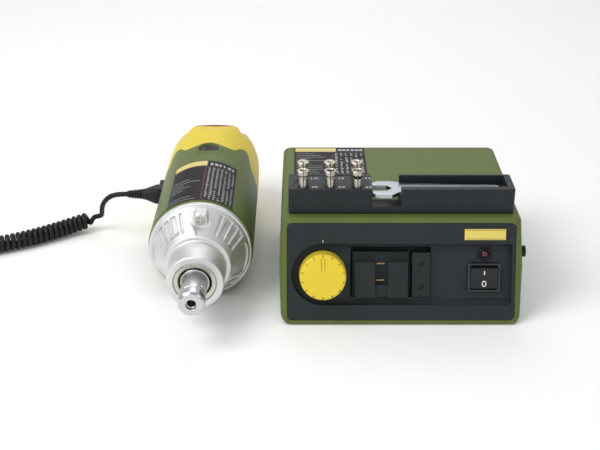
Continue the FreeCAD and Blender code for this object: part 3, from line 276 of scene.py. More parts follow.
def speckled(look, colour, spread, scale, grain, depth, stretch=(1, 1, 1), rough=None):
    """Vary a look's colour with soft noise and its surface with a fine grain on object coordinates."""
    shader = look.node_tree.nodes["Principled BSDF"]
    coords = node_of(look, "ShaderNodeTexCoord", (-1200, 0))
    mapping = node_of(look, "ShaderNodeMapping", (-1000, 0))
    mapping.inputs["Scale"].default_value = stretch
    join(look, coords, "Object", mapping, "Vector")
    cloud = node_of(look, "ShaderNodeTexNoise", (-800, 200), Scale=scale, Detail=3.0)
    join(look, mapping, "Vector", cloud, "Vector")
    ramp = node_of(look, "ShaderNodeValToRGB", (-600, 200))
    ramp.color_ramp.elements[0].position = 0.3
    ramp.color_ramp.elements[1].position = 0.7
    ramp.color_ramp.elements[0].color = (*[c * (1 - spread) for c in colour], 1)
    ramp.color_ramp.elements[1].color = (*[min(1, c * (1 + spread)) for c in colour], 1)
    join(look, cloud, "Fac", ramp, "Fac")
    join(look, ramp, "Color", shader, "Base Color")
    fine = node_of(look, "ShaderNodeTexNoise", (-800, -200), Scale=grain, Detail=2.0)
    join(look, mapping, "Vector", fine, "Vector")
    bump = node_of(look, "ShaderNodeBump", (-300, -200), Strength=depth, Distance=0.0004)
    join(look, fine, "Fac", bump, "Height")
    join(look, bump, "Normal", shader, "Normal")
    if rough:
        span = node_of(look, "ShaderNodeMapRange", (-500, -50), To_Min=rough[0], To_Max=rough[1])
        join(look, cloud, "Fac", span, "Value")
        join(look, span, "Result", shader, "Roughness")
    return look


FLOW_SCALE, FLOW_ROUGH = 28, 0.06


def moulded(name, colour, roughness, depth=0.25, spread=0.06, grain=2600):
    """Injection-moulded plastic: fine spark-eroded grain, a slight sheen and faint flow marks."""
    look = plain_look(name, colour, roughness, Specular_IOR_Level=0.22, Coat_Weight=0.02, Coat_Roughness=0.3)
    return speckled(look, colour, spread, FLOW_SCALE, grain, depth,
                    rough=(roughness - FLOW_ROUGH, roughness + FLOW_ROUGH))


cord_rubber = moulded("cord_rubber", (0.012, 0.013, 0.014), 0.42, depth=0.1)
lead_curve.materials.append(cord_rubber)
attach(lead, "lead")
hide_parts("lead_run", "lead_curl", "lead_tail")


# ------------------------------------------------------------------ strain relief and end connector
# A moulded boot: a flat grip at the motor, then a ribbed neck that tapers onto the cord. The
# connector on the far end is a round black shell with a fluted grip and a collar.

BOOT_COLOUR = (0.016, 0.018, 0.019)
RIB_COUNT = 6


def boot_grid():
    """Boot along -X: a rounded box section, |y|^n + |z|^n = 1, that shrinks and turns round."""
    whole = relief_high.x - relief_low.x
    at = np.linspace(0, 1, 130)[:, None]
    turn = np.linspace(0, math.tau, 49)[None, :-1]
    half_y = np.interp(at, [0, 0.3, 0.52, 0.62, 1], [7.6, 7.8, 5.4, 4.4, 3.0])
    half_z = np.interp(at, [0, 0.3, 0.52, 0.62, 1], [7.0, 7.2, 5.0, 4.4, 3.0])
    power = np.interp(at, [0, 0.35, 0.6, 1], [5.0, 4.0, 2.0, 2.0])
    ribs = np.where(at > 0.62, 0.42 * np.cos(math.tau * RIB_COUNT * (at - 0.62) / 0.38), 0)
    ring = (np.abs(np.cos(turn)) ** power + np.abs(np.sin(turn)) ** power) ** (-1 / power)
    ends = np.interp(at, [0, 0.985, 1], [1, 1, 0.8])
    y = (half_y + ribs) * ring * np.cos(turn) * ends * MM + lead_start.y
    z = (half_z + ribs) * ring * np.sin(turn) * ends * MM + lead_start.z
    return np.stack([relief_high.x - whole * at + 0 * turn, y, z], -1)


def capped(points):
    """Faces of a tube grid wrapped across its columns, with one flat face on each end."""
    rows, columns = points.shape[:2]
    faces = [list(f) for f in grid_faces(rows, columns, wrap_columns=True)]
    return faces + [list(range(columns))] + [list(range((rows - 1) * columns, rows * columns))]


boot_points = boot_grid()
boot = put_mesh("strain_relief", boot_points, capped(boot_points))
boot.data.materials.append(moulded("boot_rubber", BOOT_COLOUR, 0.4))
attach(boot, "lead")
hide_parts("lead_plug")


def eased(corners, radius, steps=5):
    """A profile with each inner corner replaced by an arc-like bend of about the given radius."""
    corners = np.array(corners, float)
    line = [corners[0]]
    for before, here, after in zip(corners[:-2], corners[1:-1], corners[2:]):
        back, ahead = before - here, after - here
        reach = min(radius, 0.45 * np.linalg.norm(back), 0.45 * np.linalg.norm(ahead))
        a = here + back / np.linalg.norm(back) * reach
        b = here + ahead / np.linalg.norm(ahead) * reach
        share = np.linspace(0, 1, steps)[:, None]
        line.extend((1 - share) ** 2 * a + 2 * share * (1 - share) * here + share ** 2 * b)
    line.append(corners[-1])
    return np.array(line)


def turned(name, profile, place, axis, steps=96, ripple=None):
    """Turn a profile of (radius, distance) about an axis through place; ripple(t, s) scales radii."""
    axis = np.array(axis, float)
    side = np.cross(axis, (0.0, 0.0, 1.0) if abs(axis[2]) < 0.9 else (0.0, 1.0, 0.0))
    side /= np.linalg.norm(side)
    up = np.cross(side, axis)
    turn = np.linspace(0, math.tau, steps + 1)[None, :-1]
    radius, along = profile[:, :1] * MM, profile[:, 1:] * MM
    if ripple is not None:
        radius = radius * ripple(turn, profile[:, 1:])
    points = (np.array(place) + (radius * np.cos(turn))[..., None] * side
              + (radius * np.sin(turn))[..., None] * up + (along + 0 * turn)[..., None] * axis)
    return put_mesh(name, points, grid_faces(len(profile), steps, wrap_columns=True))


tail_ahead = points_along(smooth_line("tail_line", tail_points), 8)[1][-1]
tail_end = tail_points[-1]


def end_plug():
    """Turn the connector's shell about the direction in which the cord arrives."""
    shell = eased([(0, 2.6), (2.3, 1.6), (3.4, 0.4), (4.4, 0.6), (4.6, 4), (6.2, 8), (6.8, 9.5), (6.8, 20),
                   (6.3, 21), (6.3, 23), (6.6, 24), (6.6, 30.6), (5.9, 30.6), (5.9, 26), (0, 26)], 0.5)
    return turned("end_connector", shell, tail_end - tail_ahead * 3 * MM, tail_ahead,
                  ripple=lambda t, s: 1 - 0.012 * (np.cos(24 * t) > 0.3) * ((s > 10) & (s < 19)))


connector = end_plug()
connector.data.materials.append(moulded("connector_plastic", BOOT_COLOUR, 0.35))
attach(connector, "lead")
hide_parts("lead_end_plug")


# ------------------------------------------------------------------ control unit case
# Two deep half shells moulded in olive green ABS, screwed together from below. The joint shows as
# a fine line all round, and every outer edge is softly rounded.

CASE_GREEN = (0.106, 0.140, 0.034)
EDGE_ANGLE = math.radians(32)
EDGE_STEPS = 3


def softened(name, node, width, look):
    """A copy of a CAD node with its corners joined again and its sharp edges rounded."""
    mesh = frame["nodes"][node].data.copy()
    mesh.name = name
    weld(mesh, 2e-6)
    mesh.materials.clear()
    mesh.materials.append(look)
    mesh.polygons.foreach_set("use_smooth", np.ones(len(mesh.polygons), bool))
    item = bpy.data.objects.new(name, mesh)
    bpy.context.scene.collection.objects.link(item)
    bevel = item.modifiers.new("edges", "BEVEL")
    bevel.width = width * MM
    bevel.segments = EDGE_STEPS
    bevel.limit_method = "ANGLE"
    bevel.angle_limit = EDGE_ANGLE
    bevel.use_clamp_overlap = False
    weight = item.modifiers.new("shading", "WEIGHTED_NORMAL")
    weight.keep_sharp = True
    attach(item, frame["nodes"][node]["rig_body"])
    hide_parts(node)
    return item


case_plastic = moulded("case_plastic", CASE_GREEN, 0.46, depth=0.3, spread=0.04)
softened("case_tub", "lower_case", 0.45, case_plastic)
softened("case_lid", "upper_case", 0.45, case_plastic)


# ------------------------------------------------------------------ front panel
# A black moulding set into the leaning front, with one long recess that holds the controls and a
# deeper well for the socket block. Its outer edge and the lips of both are rounded.

LEAN = math.radians(18)
PANEL_BLACK = (0.020, 0.026, 0.029)
PANEL_HALF, PANEL_LOW, PANEL_HIGH, PANEL_ROUND = 86.1, 4.2, 78.5, 4.2
PANEL_THICK, TUB_DEEP, WELL_DEEP, BACK_WALL = 3.0, 6.0, 14.0, 2.4
KNOB_AT = (-59.3, 39.3)
SWITCH_AT = (63.2, 36.3)
LAMP_AT = (63.5, 54.5)
TUB_RADIUS, TUB_RIGHT = 23.3, 83.3
WELL = (-38.1, 21.2, 22.6, 60.0)
LAMP_HOLE, SHAFT_HOLE = 4.3, 4.0
SWITCH_HOLE = (12.35 - 1.2, 10.85 - 1.2)

case_low, case_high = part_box("lower_case")
unit_x = (case_low.x + case_high.x) / 2
unit_y = case_low.y - case_low.z * math.tan(LEAN)
PANEL_OUT = np.array([0, -math.cos(LEAN), math.sin(LEAN)])
PANEL_UP = np.array([0, math.sin(LEAN), math.cos(LEAN)])


def on_panel(right, high, out):
    """A place from the panel's own millimetres: to the right, up the slope and out of the face."""
    return np.array([unit_x + right * MM, unit_y, 0]) + PANEL_UP * high * MM + PANEL_OUT * out * MM


def rounded_loop(corners, radii, steps=8):
    """A closed outline that turns left, each corner replaced by an arc of its own radius."""
    line = []
    for k, radius in enumerate(radii):
        before, here, after = (np.array(corners[(k + n) % len(corners)], float) for n in (-1, 0, 1))
        back = (before - here) / np.linalg.norm(before - here)
        ahead = (after - here) / np.linalg.norm(after - here)
        half = math.acos(np.clip(back @ ahead, -1, 1)) / 2
        centre = here + (back + ahead) / np.linalg.norm(back + ahead) * radius / math.sin(half)
        start = here + back * radius / math.tan(half) - centre
        swing = np.linspace(0, math.pi - 2 * half, steps)
        line.extend(np.stack([centre[0] + start[0] * np.cos(swing) - start[1] * np.sin(swing),
                              centre[1] + start[0] * np.sin(swing) + start[1] * np.cos(swing)], -1))
    return np.array(line)


def box_loop(left, low, right, high, radius, steps=8):
    """A rounded box as an outline."""
    return rounded_loop([(left, low), (right, low), (right, high), (left, high)], [radius] * 4, steps)


def ring_loop(middle, radius, steps=64):
    """A circle as an outline."""
    turn = np.linspace(0, math.tau, steps + 1)[:-1]
    return np.stack([middle[0] + radius * np.cos(turn), middle[1] + radius * np.sin(turn)], -1)


def grown(loop, by):
    """An outline moved outwards by a distance, along the mitre of its neighbouring edges."""
    ahead = np.roll(loop, -1, 0) - loop
    ahead /= np.linalg.norm(ahead, axis=1)[:, None]
    normal = np.stack([ahead[:, 1], -ahead[:, 0]], -1)
    mitre = normal + np.roll(normal, 1, 0)
    return loop + by * 2 * mitre / (mitre ** 2).sum(1)[:, None]


def wall(loop, top, bottom, lip=0.0, foot=0.0, hole=True):
    """Rings of (outline, out) down a wall, with a quarter-round lip above and fillet below."""
    way = 1 if hole else -1
    turn = np.linspace(0, math.pi / 2, 5)
    above, below = [(loop, top)], [(loop, bottom)]
    if lip:
        above = [(grown(loop, way * lip * (1 - math.sin(a))), top - lip * (1 - math.cos(a)))
                 for a in turn]
    if foot:
        below = [(grown(loop, -way * foot * (1 - math.cos(a))), bottom + foot * (1 - math.sin(a)))
                 for a in turn]
    return above + below


def moulding(name, walls, look, node):
    """A hollow moulding: strips down its walls, every level between their rims filled flat."""
    shell = bmesh.new()
    levels = {}
    for rings in walls:
        rows = [[shell.verts.new(on_panel(*point, out)) for point in loop] for loop, out in rings]
        for above, below in zip(rows[:-1], rows[1:]):
            for k in range(len(above)):
                n = (k + 1) % len(above)
                shell.faces.new((above[k], above[n], below[n], below[k]))
        for row, (loop, out) in ((rows[0], rings[0]), (rows[-1], rings[-1])):
            levels.setdefault(round(out, 3), []).append(row)
    shell.edges.ensure_lookup_table()
    for rows in levels.values():
        edges = [shell.edges.get((row[k], row[(k + 1) % len(row)])) for row in rows for k in range(len(row))]
        bmesh.ops.triangle_fill(shell, use_beauty=True, edges=edges)
    bmesh.ops.recalc_face_normals(shell, faces=shell.faces)
    mesh = bpy.data.meshes.new(name)
    shell.to_mesh(mesh)
    shell.free()
    mesh.polygons.foreach_set("use_smooth", np.ones(len(mesh.polygons), bool))
    item = bpy.data.objects.new(name, mesh)
    bpy.context.scene.collection.objects.link(item)
    weight = item.modifiers.new("shading", "WEIGHTED_NORMAL")
    weight.keep_sharp = True
    mesh.materials.append(look)
    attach(item, "control_unit")
    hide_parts(node)
    return item


panel_plastic = moulded("panel_plastic", PANEL_BLACK, 0.42, depth=0.35, spread=0.05)
tub_left, tub_low, tub_high = KNOB_AT[0] - TUB_RADIUS, KNOB_AT[1] - TUB_RADIUS, KNOB_AT[1] + TUB_RADIUS
tub_corners = [(tub_left, tub_low), (TUB_RIGHT, tub_low), (TUB_RIGHT, tub_high), (tub_left, tub_high)]
tub_loop = rounded_loop(tub_corners, [TUB_RADIUS - 0.01, 1.5, 1.5, TUB_RADIUS - 0.01], 24)
well_loop = box_loop(*WELL, 1.2)
switch_loop = box_loop(SWITCH_AT[0] - SWITCH_HOLE[0], SWITCH_AT[1] - SWITCH_HOLE[1],
                       SWITCH_AT[0] + SWITCH_HOLE[0], SWITCH_AT[1] + SWITCH_HOLE[1], 0.8)
panel_loop = box_loop(-PANEL_HALF, PANEL_LOW, PANEL_HALF, PANEL_HIGH, PANEL_ROUND)
moulding("control_panel", [
    wall(panel_loop, 0, -PANEL_THICK, lip=0.7, hole=False),
    wall(tub_loop, 0, -TUB_DEEP, lip=0.7, foot=0.6),
    wall(well_loop, -TUB_DEEP, -WELL_DEEP, lip=0.4),
    wall(ring_loop(LAMP_AT, LAMP_HOLE), -TUB_DEEP, -TUB_DEEP - BACK_WALL),
    wall(ring_loop(KNOB_AT, SHAFT_HOLE), -TUB_DEEP, -TUB_DEEP - BACK_WALL),
    wall(switch_loop, -TUB_DEEP, -TUB_DEEP - BACK_WALL),
    wall(grown(tub_loop, BACK_WALL), -PANEL_THICK, -TUB_DEEP - BACK_WALL),
    wall(grown(well_loop, BACK_WALL), -TUB_DEEP - BACK_WALL, -WELL_DEEP - BACK_WALL)],
    panel_plastic, "front_panel")

# A wedge slopes from near the face, at the low edge of the recess, down to the floor right of the well.
RAMP_LEFT, RAMP_RIGHT, RAMP_FOOT, RAMP_TOP = WELL[2] + 0.6, TUB_RIGHT - 0.1, 20.6, tub_low + 0.1
ramp_points = np.array([[on_panel(right, high, out) for high, out in
                         ((RAMP_TOP, -TUB_DEEP - 0.2), (RAMP_TOP, -0.9), (RAMP_FOOT, -TUB_DEEP - 0.2))]
                        for right in (RAMP_LEFT, RAMP_RIGHT)])
ramp_faces = [(0, 1, 2), (3, 5, 4), (0, 3, 4, 1), (1, 4, 5, 2), (2, 5, 3, 0)]
ramp = put_mesh("recess_ramp", ramp_points, ramp_faces, False)
ramp.data.materials.append(panel_plastic)
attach(ramp, "control_unit")


# ------------------------------------------------------------------ socket block and strip
# The stepped block takes the motor's flat connector; two slits with spring contacts lie between
# its raised cheeks. A narrow strip beside it is held by two sunk screws.

socket_plastic = moulded("socket_plastic", (0.018, 0.023, 0.025), 0.45, depth=0.3)
softened("socket_block", "motor_socket_block", 0.5, socket_plastic)
STRIP_BOX = (8.3, 21.4, 22.4, 55.7)
STRIP_TOP, STRIP_SUNK = -4.0, -11.0
strip_holes = [ring_loop((15.2, high), 1.95, 32) for high in (29.5, 47.0)]
moulding("cover_strip", [wall(box_loop(*STRIP_BOX, 0.8), STRIP_TOP, -WELL_DEEP, lip=0.5, hole=False)]
         + [wall(hole, STRIP_TOP, STRIP_SUNK, lip=0.3) for hole in strip_holes],
         socket_plastic, "socket_strip")


METAL_SCALE = 60


def turned_metal(name, colour, roughness, scale=900, depth=0.15, stretch=(1, 1, 1), spread=0.05):
    """Machined metal: a bright shader with fine tool marks stretched round the part."""
    look = plain_look(name, colour, roughness, 1.0)
    return speckled(look, colour, spread, METAL_SCALE, scale, depth, stretch,
                    rough=(roughness - 0.05, roughness + 0.08))


def dressed(look, *nodes):
    """Give CAD nodes whose shape is right their finish."""
    for node in nodes:
        materials = frame["nodes"][node].data.materials
        for k in range(max(1, len(materials))):
            if len(materials):
                materials[k] = look
            else:
                materials.append(look)


dark_steel = turned_metal("blackened_steel", (0.05, 0.052, 0.055), 0.4)
plated_contact = turned_metal("plated_contact", (0.62, 0.42, 0.22), 0.3)
dressed(dark_steel, "strip_screws")
dressed(plated_contact, "socket_contacts")


# ------------------------------------------------------------------ speed knob
# A yellow moulding, pressed on the potentiometer's shaft: a slightly crowned face and fine notches
# round the rim. A dark mark painted at each notch is painted shade, and the pointer is two dark
# lines of painted shade where the sides of a raised bar would fall. It turns with the knob body.

KNOB_YELLOW = (0.76, 0.58, 0.045)
KNOB_RADIUS = 18.0
KNOB_TALL = 17.4
KNOB_NOTCHES = 14
NOTCH_SHARE, NOTCH_WAVE = 0.045, 0.955
SHAFT_BORE = 3.2
NOTCH_SHADE_RING, NOTCH_SHADE_HALF = 15.6, (0.7, 0.22, 0.12)
POINTER_UP, POINTER_SHADE_HALF = 9.4, (0.17, 4.8, 0.12)
ZERO_UP, ZERO_HALF = 25.6, (0.3, 1.0, 0.05)


def centre_on_panel(node):
    """Middle of a node's box, as (right, high) on the panel, at the height of the panel's face."""
    low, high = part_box(node)
    middle = np.array((low + high) / 2) - np.array([unit_x, unit_y, 0])
    return middle[0] / MM, middle @ PANEL_UP / MM


FLOOR_OUT = -TUB_DEEP
knob_bottom = FLOOR_OUT + 0.6


def knob_scale(turn, along):
    """Radius ripple: short notches in the rim, only near the face."""
    wave = np.cos(KNOB_NOTCHES * (turn - math.pi / 2))
    near = (along > KNOB_TALL - 3.6) & (along < KNOB_TALL + 1)
    return 1 - NOTCH_SHARE * (wave > NOTCH_WAVE) * near


knob_profile = eased([(0, KNOB_TALL - 4), (SHAFT_BORE, KNOB_TALL - 4), (SHAFT_BORE, 0.1),
                      (KNOB_RADIUS - 0.4, 0), (KNOB_RADIUS, 0.6), (KNOB_RADIUS - 0.5, KNOB_TALL - 3.7)], 0.4)
knob_rim = eased([(KNOB_RADIUS - 0.5, KNOB_TALL - 3.6), (KNOB_RADIUS - 0.7, KNOB_TALL - 1.3),
                  (KNOB_RADIUS - 2.0, KNOB_TALL), (0, KNOB_TALL + 0.15)], 1.2, steps=8)
knob_profile = np.concatenate([knob_profile, knob_rim])
knob = turned("dial_knob", knob_profile, on_panel(*KNOB_AT, knob_bottom), PANEL_OUT, steps=420,
              ripple=knob_scale)
knob_plastic = moulded("knob_plastic", KNOB_YELLOW, 0.36, depth=0.15, spread=0.03)
knob.data.materials.append(knob_plastic)
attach(knob, "knob")
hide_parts("speed_knob")


def slab(name, middle, axes, half, round_by, look, body):
    """A flat bar with rounded corners: half sizes along three given axes, edges bevelled."""
    corners = np.array([(a, b, c) for a in (-1, 1) for b in (-1, 1) for c in (-1, 1)], float) * half * MM
    points = np.array(middle) + corners @ np.array(axes)
    faces = [(0, 1, 3, 2), (4, 6, 7, 5), (0, 4, 5, 1), (2, 3, 7, 6), (0, 2, 6, 4), (1, 5, 7, 3)]
    item = put_mesh(name, points, faces)
    bevel = item.modifiers.new("edges", "BEVEL")
    bevel.width = round_by * MM
    bevel.segments = EDGE_STEPS
    weight = item.modifiers.new("shading", "WEIGHTED_NORMAL")
    weight.keep_sharp = True
    item.data.materials.append(look)
    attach(item, body)
    return item


PANEL_AXES = [(1, 0, 0), PANEL_UP, PANEL_OUT]
# The knob's dark marks are painted shade: two lines for the shaded sides of the pointer bar and one tick in each
# rim notch.
knob_painted_shade = plain_look("knob_painted_shade", (0.10, 0.075, 0.008), 0.6)
for name, across in (("knob_pointer_shade_left", -1.3), ("knob_pointer_shade_right", 1.3)):
    line_at = on_panel(KNOB_AT[0] + across, KNOB_AT[1] + POINTER_UP, knob_bottom + KNOB_TALL + 0.02)
    slab(name, line_at, PANEL_AXES, POINTER_SHADE_HALF, 0.03, knob_painted_shade, "knob")
# Painted shade in each rim notch: a dark tick on the face at the notch's angle.
for k in range(KNOB_NOTCHES):
    turn = math.pi / 2 + k * math.tau / KNOB_NOTCHES
    radial = math.cos(turn) * np.array([1, 0, 0]) + math.sin(turn) * PANEL_UP
    tangent = -math.sin(turn) * np.array([1, 0, 0]) + math.cos(turn) * PANEL_UP
    notch_shade_at = on_panel(KNOB_AT[0] + NOTCH_SHADE_RING * math.cos(turn), KNOB_AT[1] + NOTCH_SHADE_RING * math.sin(turn),
                       knob_bottom + KNOB_TALL - 0.02)
    slab("knob_notch_shade_%d" % k, notch_shade_at, [radial, tangent, PANEL_OUT], NOTCH_SHADE_HALF, 0.03, knob_painted_shade, "knob")
slab("knob_mark", on_panel(KNOB_AT[0], KNOB_AT[1] + ZERO_UP, 0.02), PANEL_AXES, ZERO_HALF, 0.02,
     plain_look("mark_paint", (0.55, 0.57, 0.58), 0.6), "control_unit")
pot_plastic = moulded("pot_plastic", (0.02, 0.022, 0.025), 0.5)
dressed(pot_plastic, "potentiometer")
shaft_steel = turned_metal("shaft_steel", (0.6, 0.61, 0.62), 0.28, stretch=(1, 8, 1))
dressed(shaft_steel, "potentiometer_shaft")


# ------------------------------------------------------------------ pilot lamp
# A black bezel with a domed lens of clear red plastic.

lamp_right, lamp_high = centre_on_panel("led_lens")
lens_profile = eased([(0, -6), (2.7, -6), (2.7, 0.7), (2.2, 1.6), (1.2, 2.1), (0, 2.25)], 0.7, steps=8)
lens = turned("lamp_lens", lens_profile, on_panel(lamp_right, lamp_high, FLOOR_OUT), PANEL_OUT, steps=64)
lens_red = plain_look("lens_red", (0.09, 0.003, 0.006), 0.12, 0.0, Transmission_Weight=0.25, IOR=1.5,
                      Coat_Weight=0.6, Coat_Roughness=0.08)
lens.data.materials.append(lens_red)
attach(lens, "control_unit")
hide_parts("led_lens")

bezel_profile = eased([(2.78, -8), (4.2, -8), (4.2, -0.1), (4.9, 0), (4.85, 1.1), (4.3, 1.55), (3.2, 1.5),
                       (2.8, 0.9), (2.78, -8)], 0.35)
bezel = turned("lamp_bezel", bezel_profile, on_panel(lamp_right, lamp_high, FLOOR_OUT), PANEL_OUT, steps=96)
gloss_black = moulded("gloss_black", (0.010, 0.011, 0.012), 0.22, depth=0.05)
bezel.data.materials.append(gloss_black)
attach(bezel, "control_unit")
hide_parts("led_bezel")


# ------------------------------------------------------------------ mains switch
# A snap-in frame and a rocker with a hollowed top. The signs on the rocker are printed white: a
# bar above for on and a ring below for off.

frame_plastic = moulded("frame_plastic", (0.040, 0.046, 0.049), 0.4)
rocker_plastic = moulded("rocker_plastic", (0.022, 0.025, 0.027), 0.3, depth=0.1)
softened("switch_surround", "switch_frame", 0.4, frame_plastic)
softened("rocker", "switch_rocker", 0.5, rocker_plastic)

ROCKER_TILT = math.radians(6)
ROCKER_HALF, ROCKER_END, ROCKER_DIP = 7.9, 3.4, 2.2
HINGE_OUT = FLOOR_OUT + 0.2
white_print = plain_look("white_print", (0.82, 0.82, 0.80), 0.5)


def on_rocker(right, along, out):
    """A place on the tilted rocker: across it, along it from the hinge and above its hollow face."""
    face = ROCKER_DIP + (ROCKER_END - ROCKER_DIP) * abs(along) / ROCKER_HALF + out
    high = along * math.cos(ROCKER_TILT) - face * math.sin(ROCKER_TILT)
    proud = along * math.sin(ROCKER_TILT) + face * math.cos(ROCKER_TILT)
    return on_panel(SWITCH_AT[0] + right, SWITCH_AT[1] + high, HINGE_OUT + proud)


def rocker_sign(name, outer, inner, middle, steps=48):
    """A thin ring, or a bar where it has no inner edge, that follows the rocker's sloping face."""
    turn = np.linspace(0, math.tau, steps + 1)[:-1]
    rings = [(inner, -0.05), (outer, -0.05), (outer, 0.04), (inner, 0.04)]
    points = np.array([[on_rocker(r[0] * math.cos(a), middle + r[1] * math.sin(a), out) for a in turn]
                       for r, out in rings])
    item = put_mesh(name, points, grid_faces(4, steps, wrap_rows=True, wrap_columns=True), smooth=False)
    item.data.materials.append(white_print)
    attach(item, "rocker")
    return item


rocker_sign("sign_off", (1.75, 2.25), (1.1, 1.55), -4.3)
rocker_sign("sign_on", (0.45, 1.9), (0.02, 0.1), 4.2)


# ------------------------------------------------------------------ name plate
# A plain yellow plate above the recess. It carries no lettering; two thin dark lines on it are
# painted shade for its grooves.

plate_yellow = moulded("plate_yellow", (0.72, 0.60, 0.14), 0.4, depth=0.1)
softened("name_plate", "badge_plate", 0.25, plate_yellow)
badge_right, badge_high = centre_on_panel("badge_plate")
# Painted shade: two thin dark lines standing in for the shaded grooves across the plate.
for k, across in enumerate((-1, 1)):
    slab("plate_groove_shade_%d" % k, on_panel(badge_right, badge_high + across * 3.3, 0.82), PANEL_AXES,
         (14.6, 0.14, 0.03), 0.02, dark_steel, "control_unit")


# ------------------------------------------------------------------ collet tray
# A black moulding screwed to the lid: six holes for the collets, a finger notch, and the slot
# that the spanner's handle lies in. The sizes are printed beside the holes.

tray_plastic = moulded("tray_plastic", (0.018, 0.022, 0.025), 0.42, depth=0.35)
softened("tool_tray", "collet_tray", 0.7, tray_plastic)

tray_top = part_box("collet_tray")[1].z
SIZES = [("collet_2_35", "2.35"), ("collet_3_0", "3.0"), ("collet_3_2", "3.2"), ("collet_4_0", "4.0"),
         ("collet_5_0", "5.0"), ("collet_6_0", "6.0")]


PRINT_THICK, PRINT_LINE = 0.03, 1.35
SIZE_TALL, SIZE_ASIDE = 2.9, (8.6, -1.2)


def printed(name, text, tall, middle, look, body):
    """Flat printed characters, lying face up with their middle at a place."""
    letters = bpy.data.curves.new(name, "FONT")
    letters.body = text
    letters.size = tall * MM * PRINT_LINE
    letters.align_x = "CENTER"
    letters.align_y = "CENTER"
    letters.extrude = PRINT_THICK * MM
    probe = bpy.data.objects.new("probe", letters)
    mesh = bpy.data.meshes.new_from_object(probe)
    bpy.data.objects.remove(probe)
    mesh.transform(Matrix.Translation(Vector(middle)))
    weld(mesh, 1e-7)
    mesh.name = name
    mesh.materials.clear()
    mesh.materials.append(look)
    item = bpy.data.objects.new(name, mesh)
    bpy.context.scene.collection.objects.link(item)
    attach(item, body)
    return item


collet_nickel = turned_metal("collet_nickel", (0.50, 0.47, 0.41), 0.3, scale=1500, depth=0.1,
                             stretch=(1, 1, 4))
for node, text in SIZES:
    low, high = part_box(node)
    middle = (low + high) / 2
    printed("size_" + text.replace(".", "_"), text, SIZE_TALL,
            (middle.x + SIZE_ASIDE[0] * MM, middle.y + SIZE_ASIDE[1] * MM, tray_top + PRINT_THICK * MM),
            white_print, "control_unit")


# ------------------------------------------------------------------ collets
# Slit steel collets with a conical head, nickel plated, each standing in its own hole.

for node, text in SIZES:
    softened(node.replace("collet", "spring_collet"), node, 0.18, collet_nickel)


# ------------------------------------------------------------------ spanner
# A flat open-jaw spanner stamped from steel plate, its edges ground and its faces satin.

spanner_steel = turned_metal("spanner_steel", (0.40, 0.44, 0.47), 0.27, scale=700, depth=0.1,
                             stretch=(0.3, 3, 3))
softened("jaw_spanner", "spanner", 0.45, spanner_steel)


# ------------------------------------------------------------------ fasteners and insides of the unit
# Feet, case screws, transformer, board and fuse holder keep their CAD shapes, each in the finish of
# what it is made of. The mains inlet also has its edges rounded.
rubber_black = moulded("rubber_black", (0.014, 0.014, 0.015), 0.7)
bright_steel = turned_metal("bright_steel", (0.55, 0.56, 0.57), 0.3)
core_steel = turned_metal("core_steel", (0.20, 0.20, 0.21), 0.5, scale=300, stretch=(1, 30, 1))
wound_copper = turned_metal("wound_copper", (0.48, 0.19, 0.07), 0.35, scale=500, stretch=(1, 1, 20))
board_green = moulded("board_green", (0.02, 0.10, 0.035), 0.4)
plain_aluminium = turned_metal("plain_aluminium", (0.60, 0.61, 0.62), 0.35)
dressed(rubber_black, "rubber_feet")
dressed(bright_steel, "case_screws")
dressed(core_steel, "transformer_core")
dressed(wound_copper, "transformer_winding")
dressed(board_green, "circuit_board")
dressed(plain_aluminium, "board_components")
dressed(gloss_black, "fuse_holder")
softened("power_inlet", "mains_inlet", 0.4, gloss_black)


# ------------------------------------------------------------------ label on the lid
# A thin black plate behind the tray with a yellow title strip, two fine red rules and columns of small
# white and grey marks. Nothing on it can be read.

LABEL_LOW, LABEL_HIGH = (-81.4, 10.0), (-21.4, 68.8)
LABEL_PROUD, PRINT_PROUD = 0.12, 0.05
PRINT_HIGH = LABEL_PROUD + PRINT_PROUD
label_black = plain_look("label_black", (0.008, 0.008, 0.009), 0.4, Specular_IOR_Level=0.12)
label_yellow = plain_look("label_yellow", (0.66, 0.56, 0.20), 0.45)
label_white = plain_look("label_white", (0.48, 0.48, 0.47), 0.5)
label_grey = plain_look("label_grey", (0.25, 0.25, 0.26), 0.5)
label_red = plain_look("label_red", (0.16, 0.012, 0.020), 0.5)


def patches(name, spans, place, proud, look, body, bend=60):
    """Thin plates (left, low, right, high) on a surface, each bent to it along its width."""
    points, faces = [], []
    for left, low, right, high in spans:
        count = max(2, int(bend * (right - left) / 60) + 2)
        across = np.linspace(left, right, count)
        rings = [(low, -0.1), (high, -0.1), (high, proud), (low, proud)]
        grid = np.stack([place(across, np.full(count, v), w) for v, w in rings], 1)
        start = sum(len(p) for p in points)
        points.append(grid.reshape(-1, 3))
        quads = grid_faces(count, 4, wrap_columns=True) + start
        ends = np.array([[0, 1, 2, 3], [0, 1, 2, 3]]) + np.array([[0], [4 * (count - 1)]]) + start
        faces.append(np.concatenate([quads, ends]))
    item = put_mesh(name, np.concatenate(points), np.concatenate(faces), smooth=False)
    item.data.materials.append(look)
    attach(item, body)
    return item


def dashes(left, right, low, high, columns, rows, wide, tall, seed):
    """Spans of small marks in columns and rows, some of them left out."""
    draw = np.random.default_rng(seed)
    spans = []
    for u in np.linspace(left, right - wide, columns):
        for v in np.linspace(low, high - tall, rows):
            share = draw.uniform(0.45, 1.0)
            if draw.uniform() < 0.9:
                spans.append((u, v, u + wide * share, v + tall))
    return spans


lid_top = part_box("upper_case")[1].z


def on_lid(across, along, out):
    """A place on the flat top of the lid, in millimetres from the unit's middle plane and y = 0."""
    return np.stack([unit_x + across * MM, along * MM, 0 * across + lid_top + out * MM], -1)


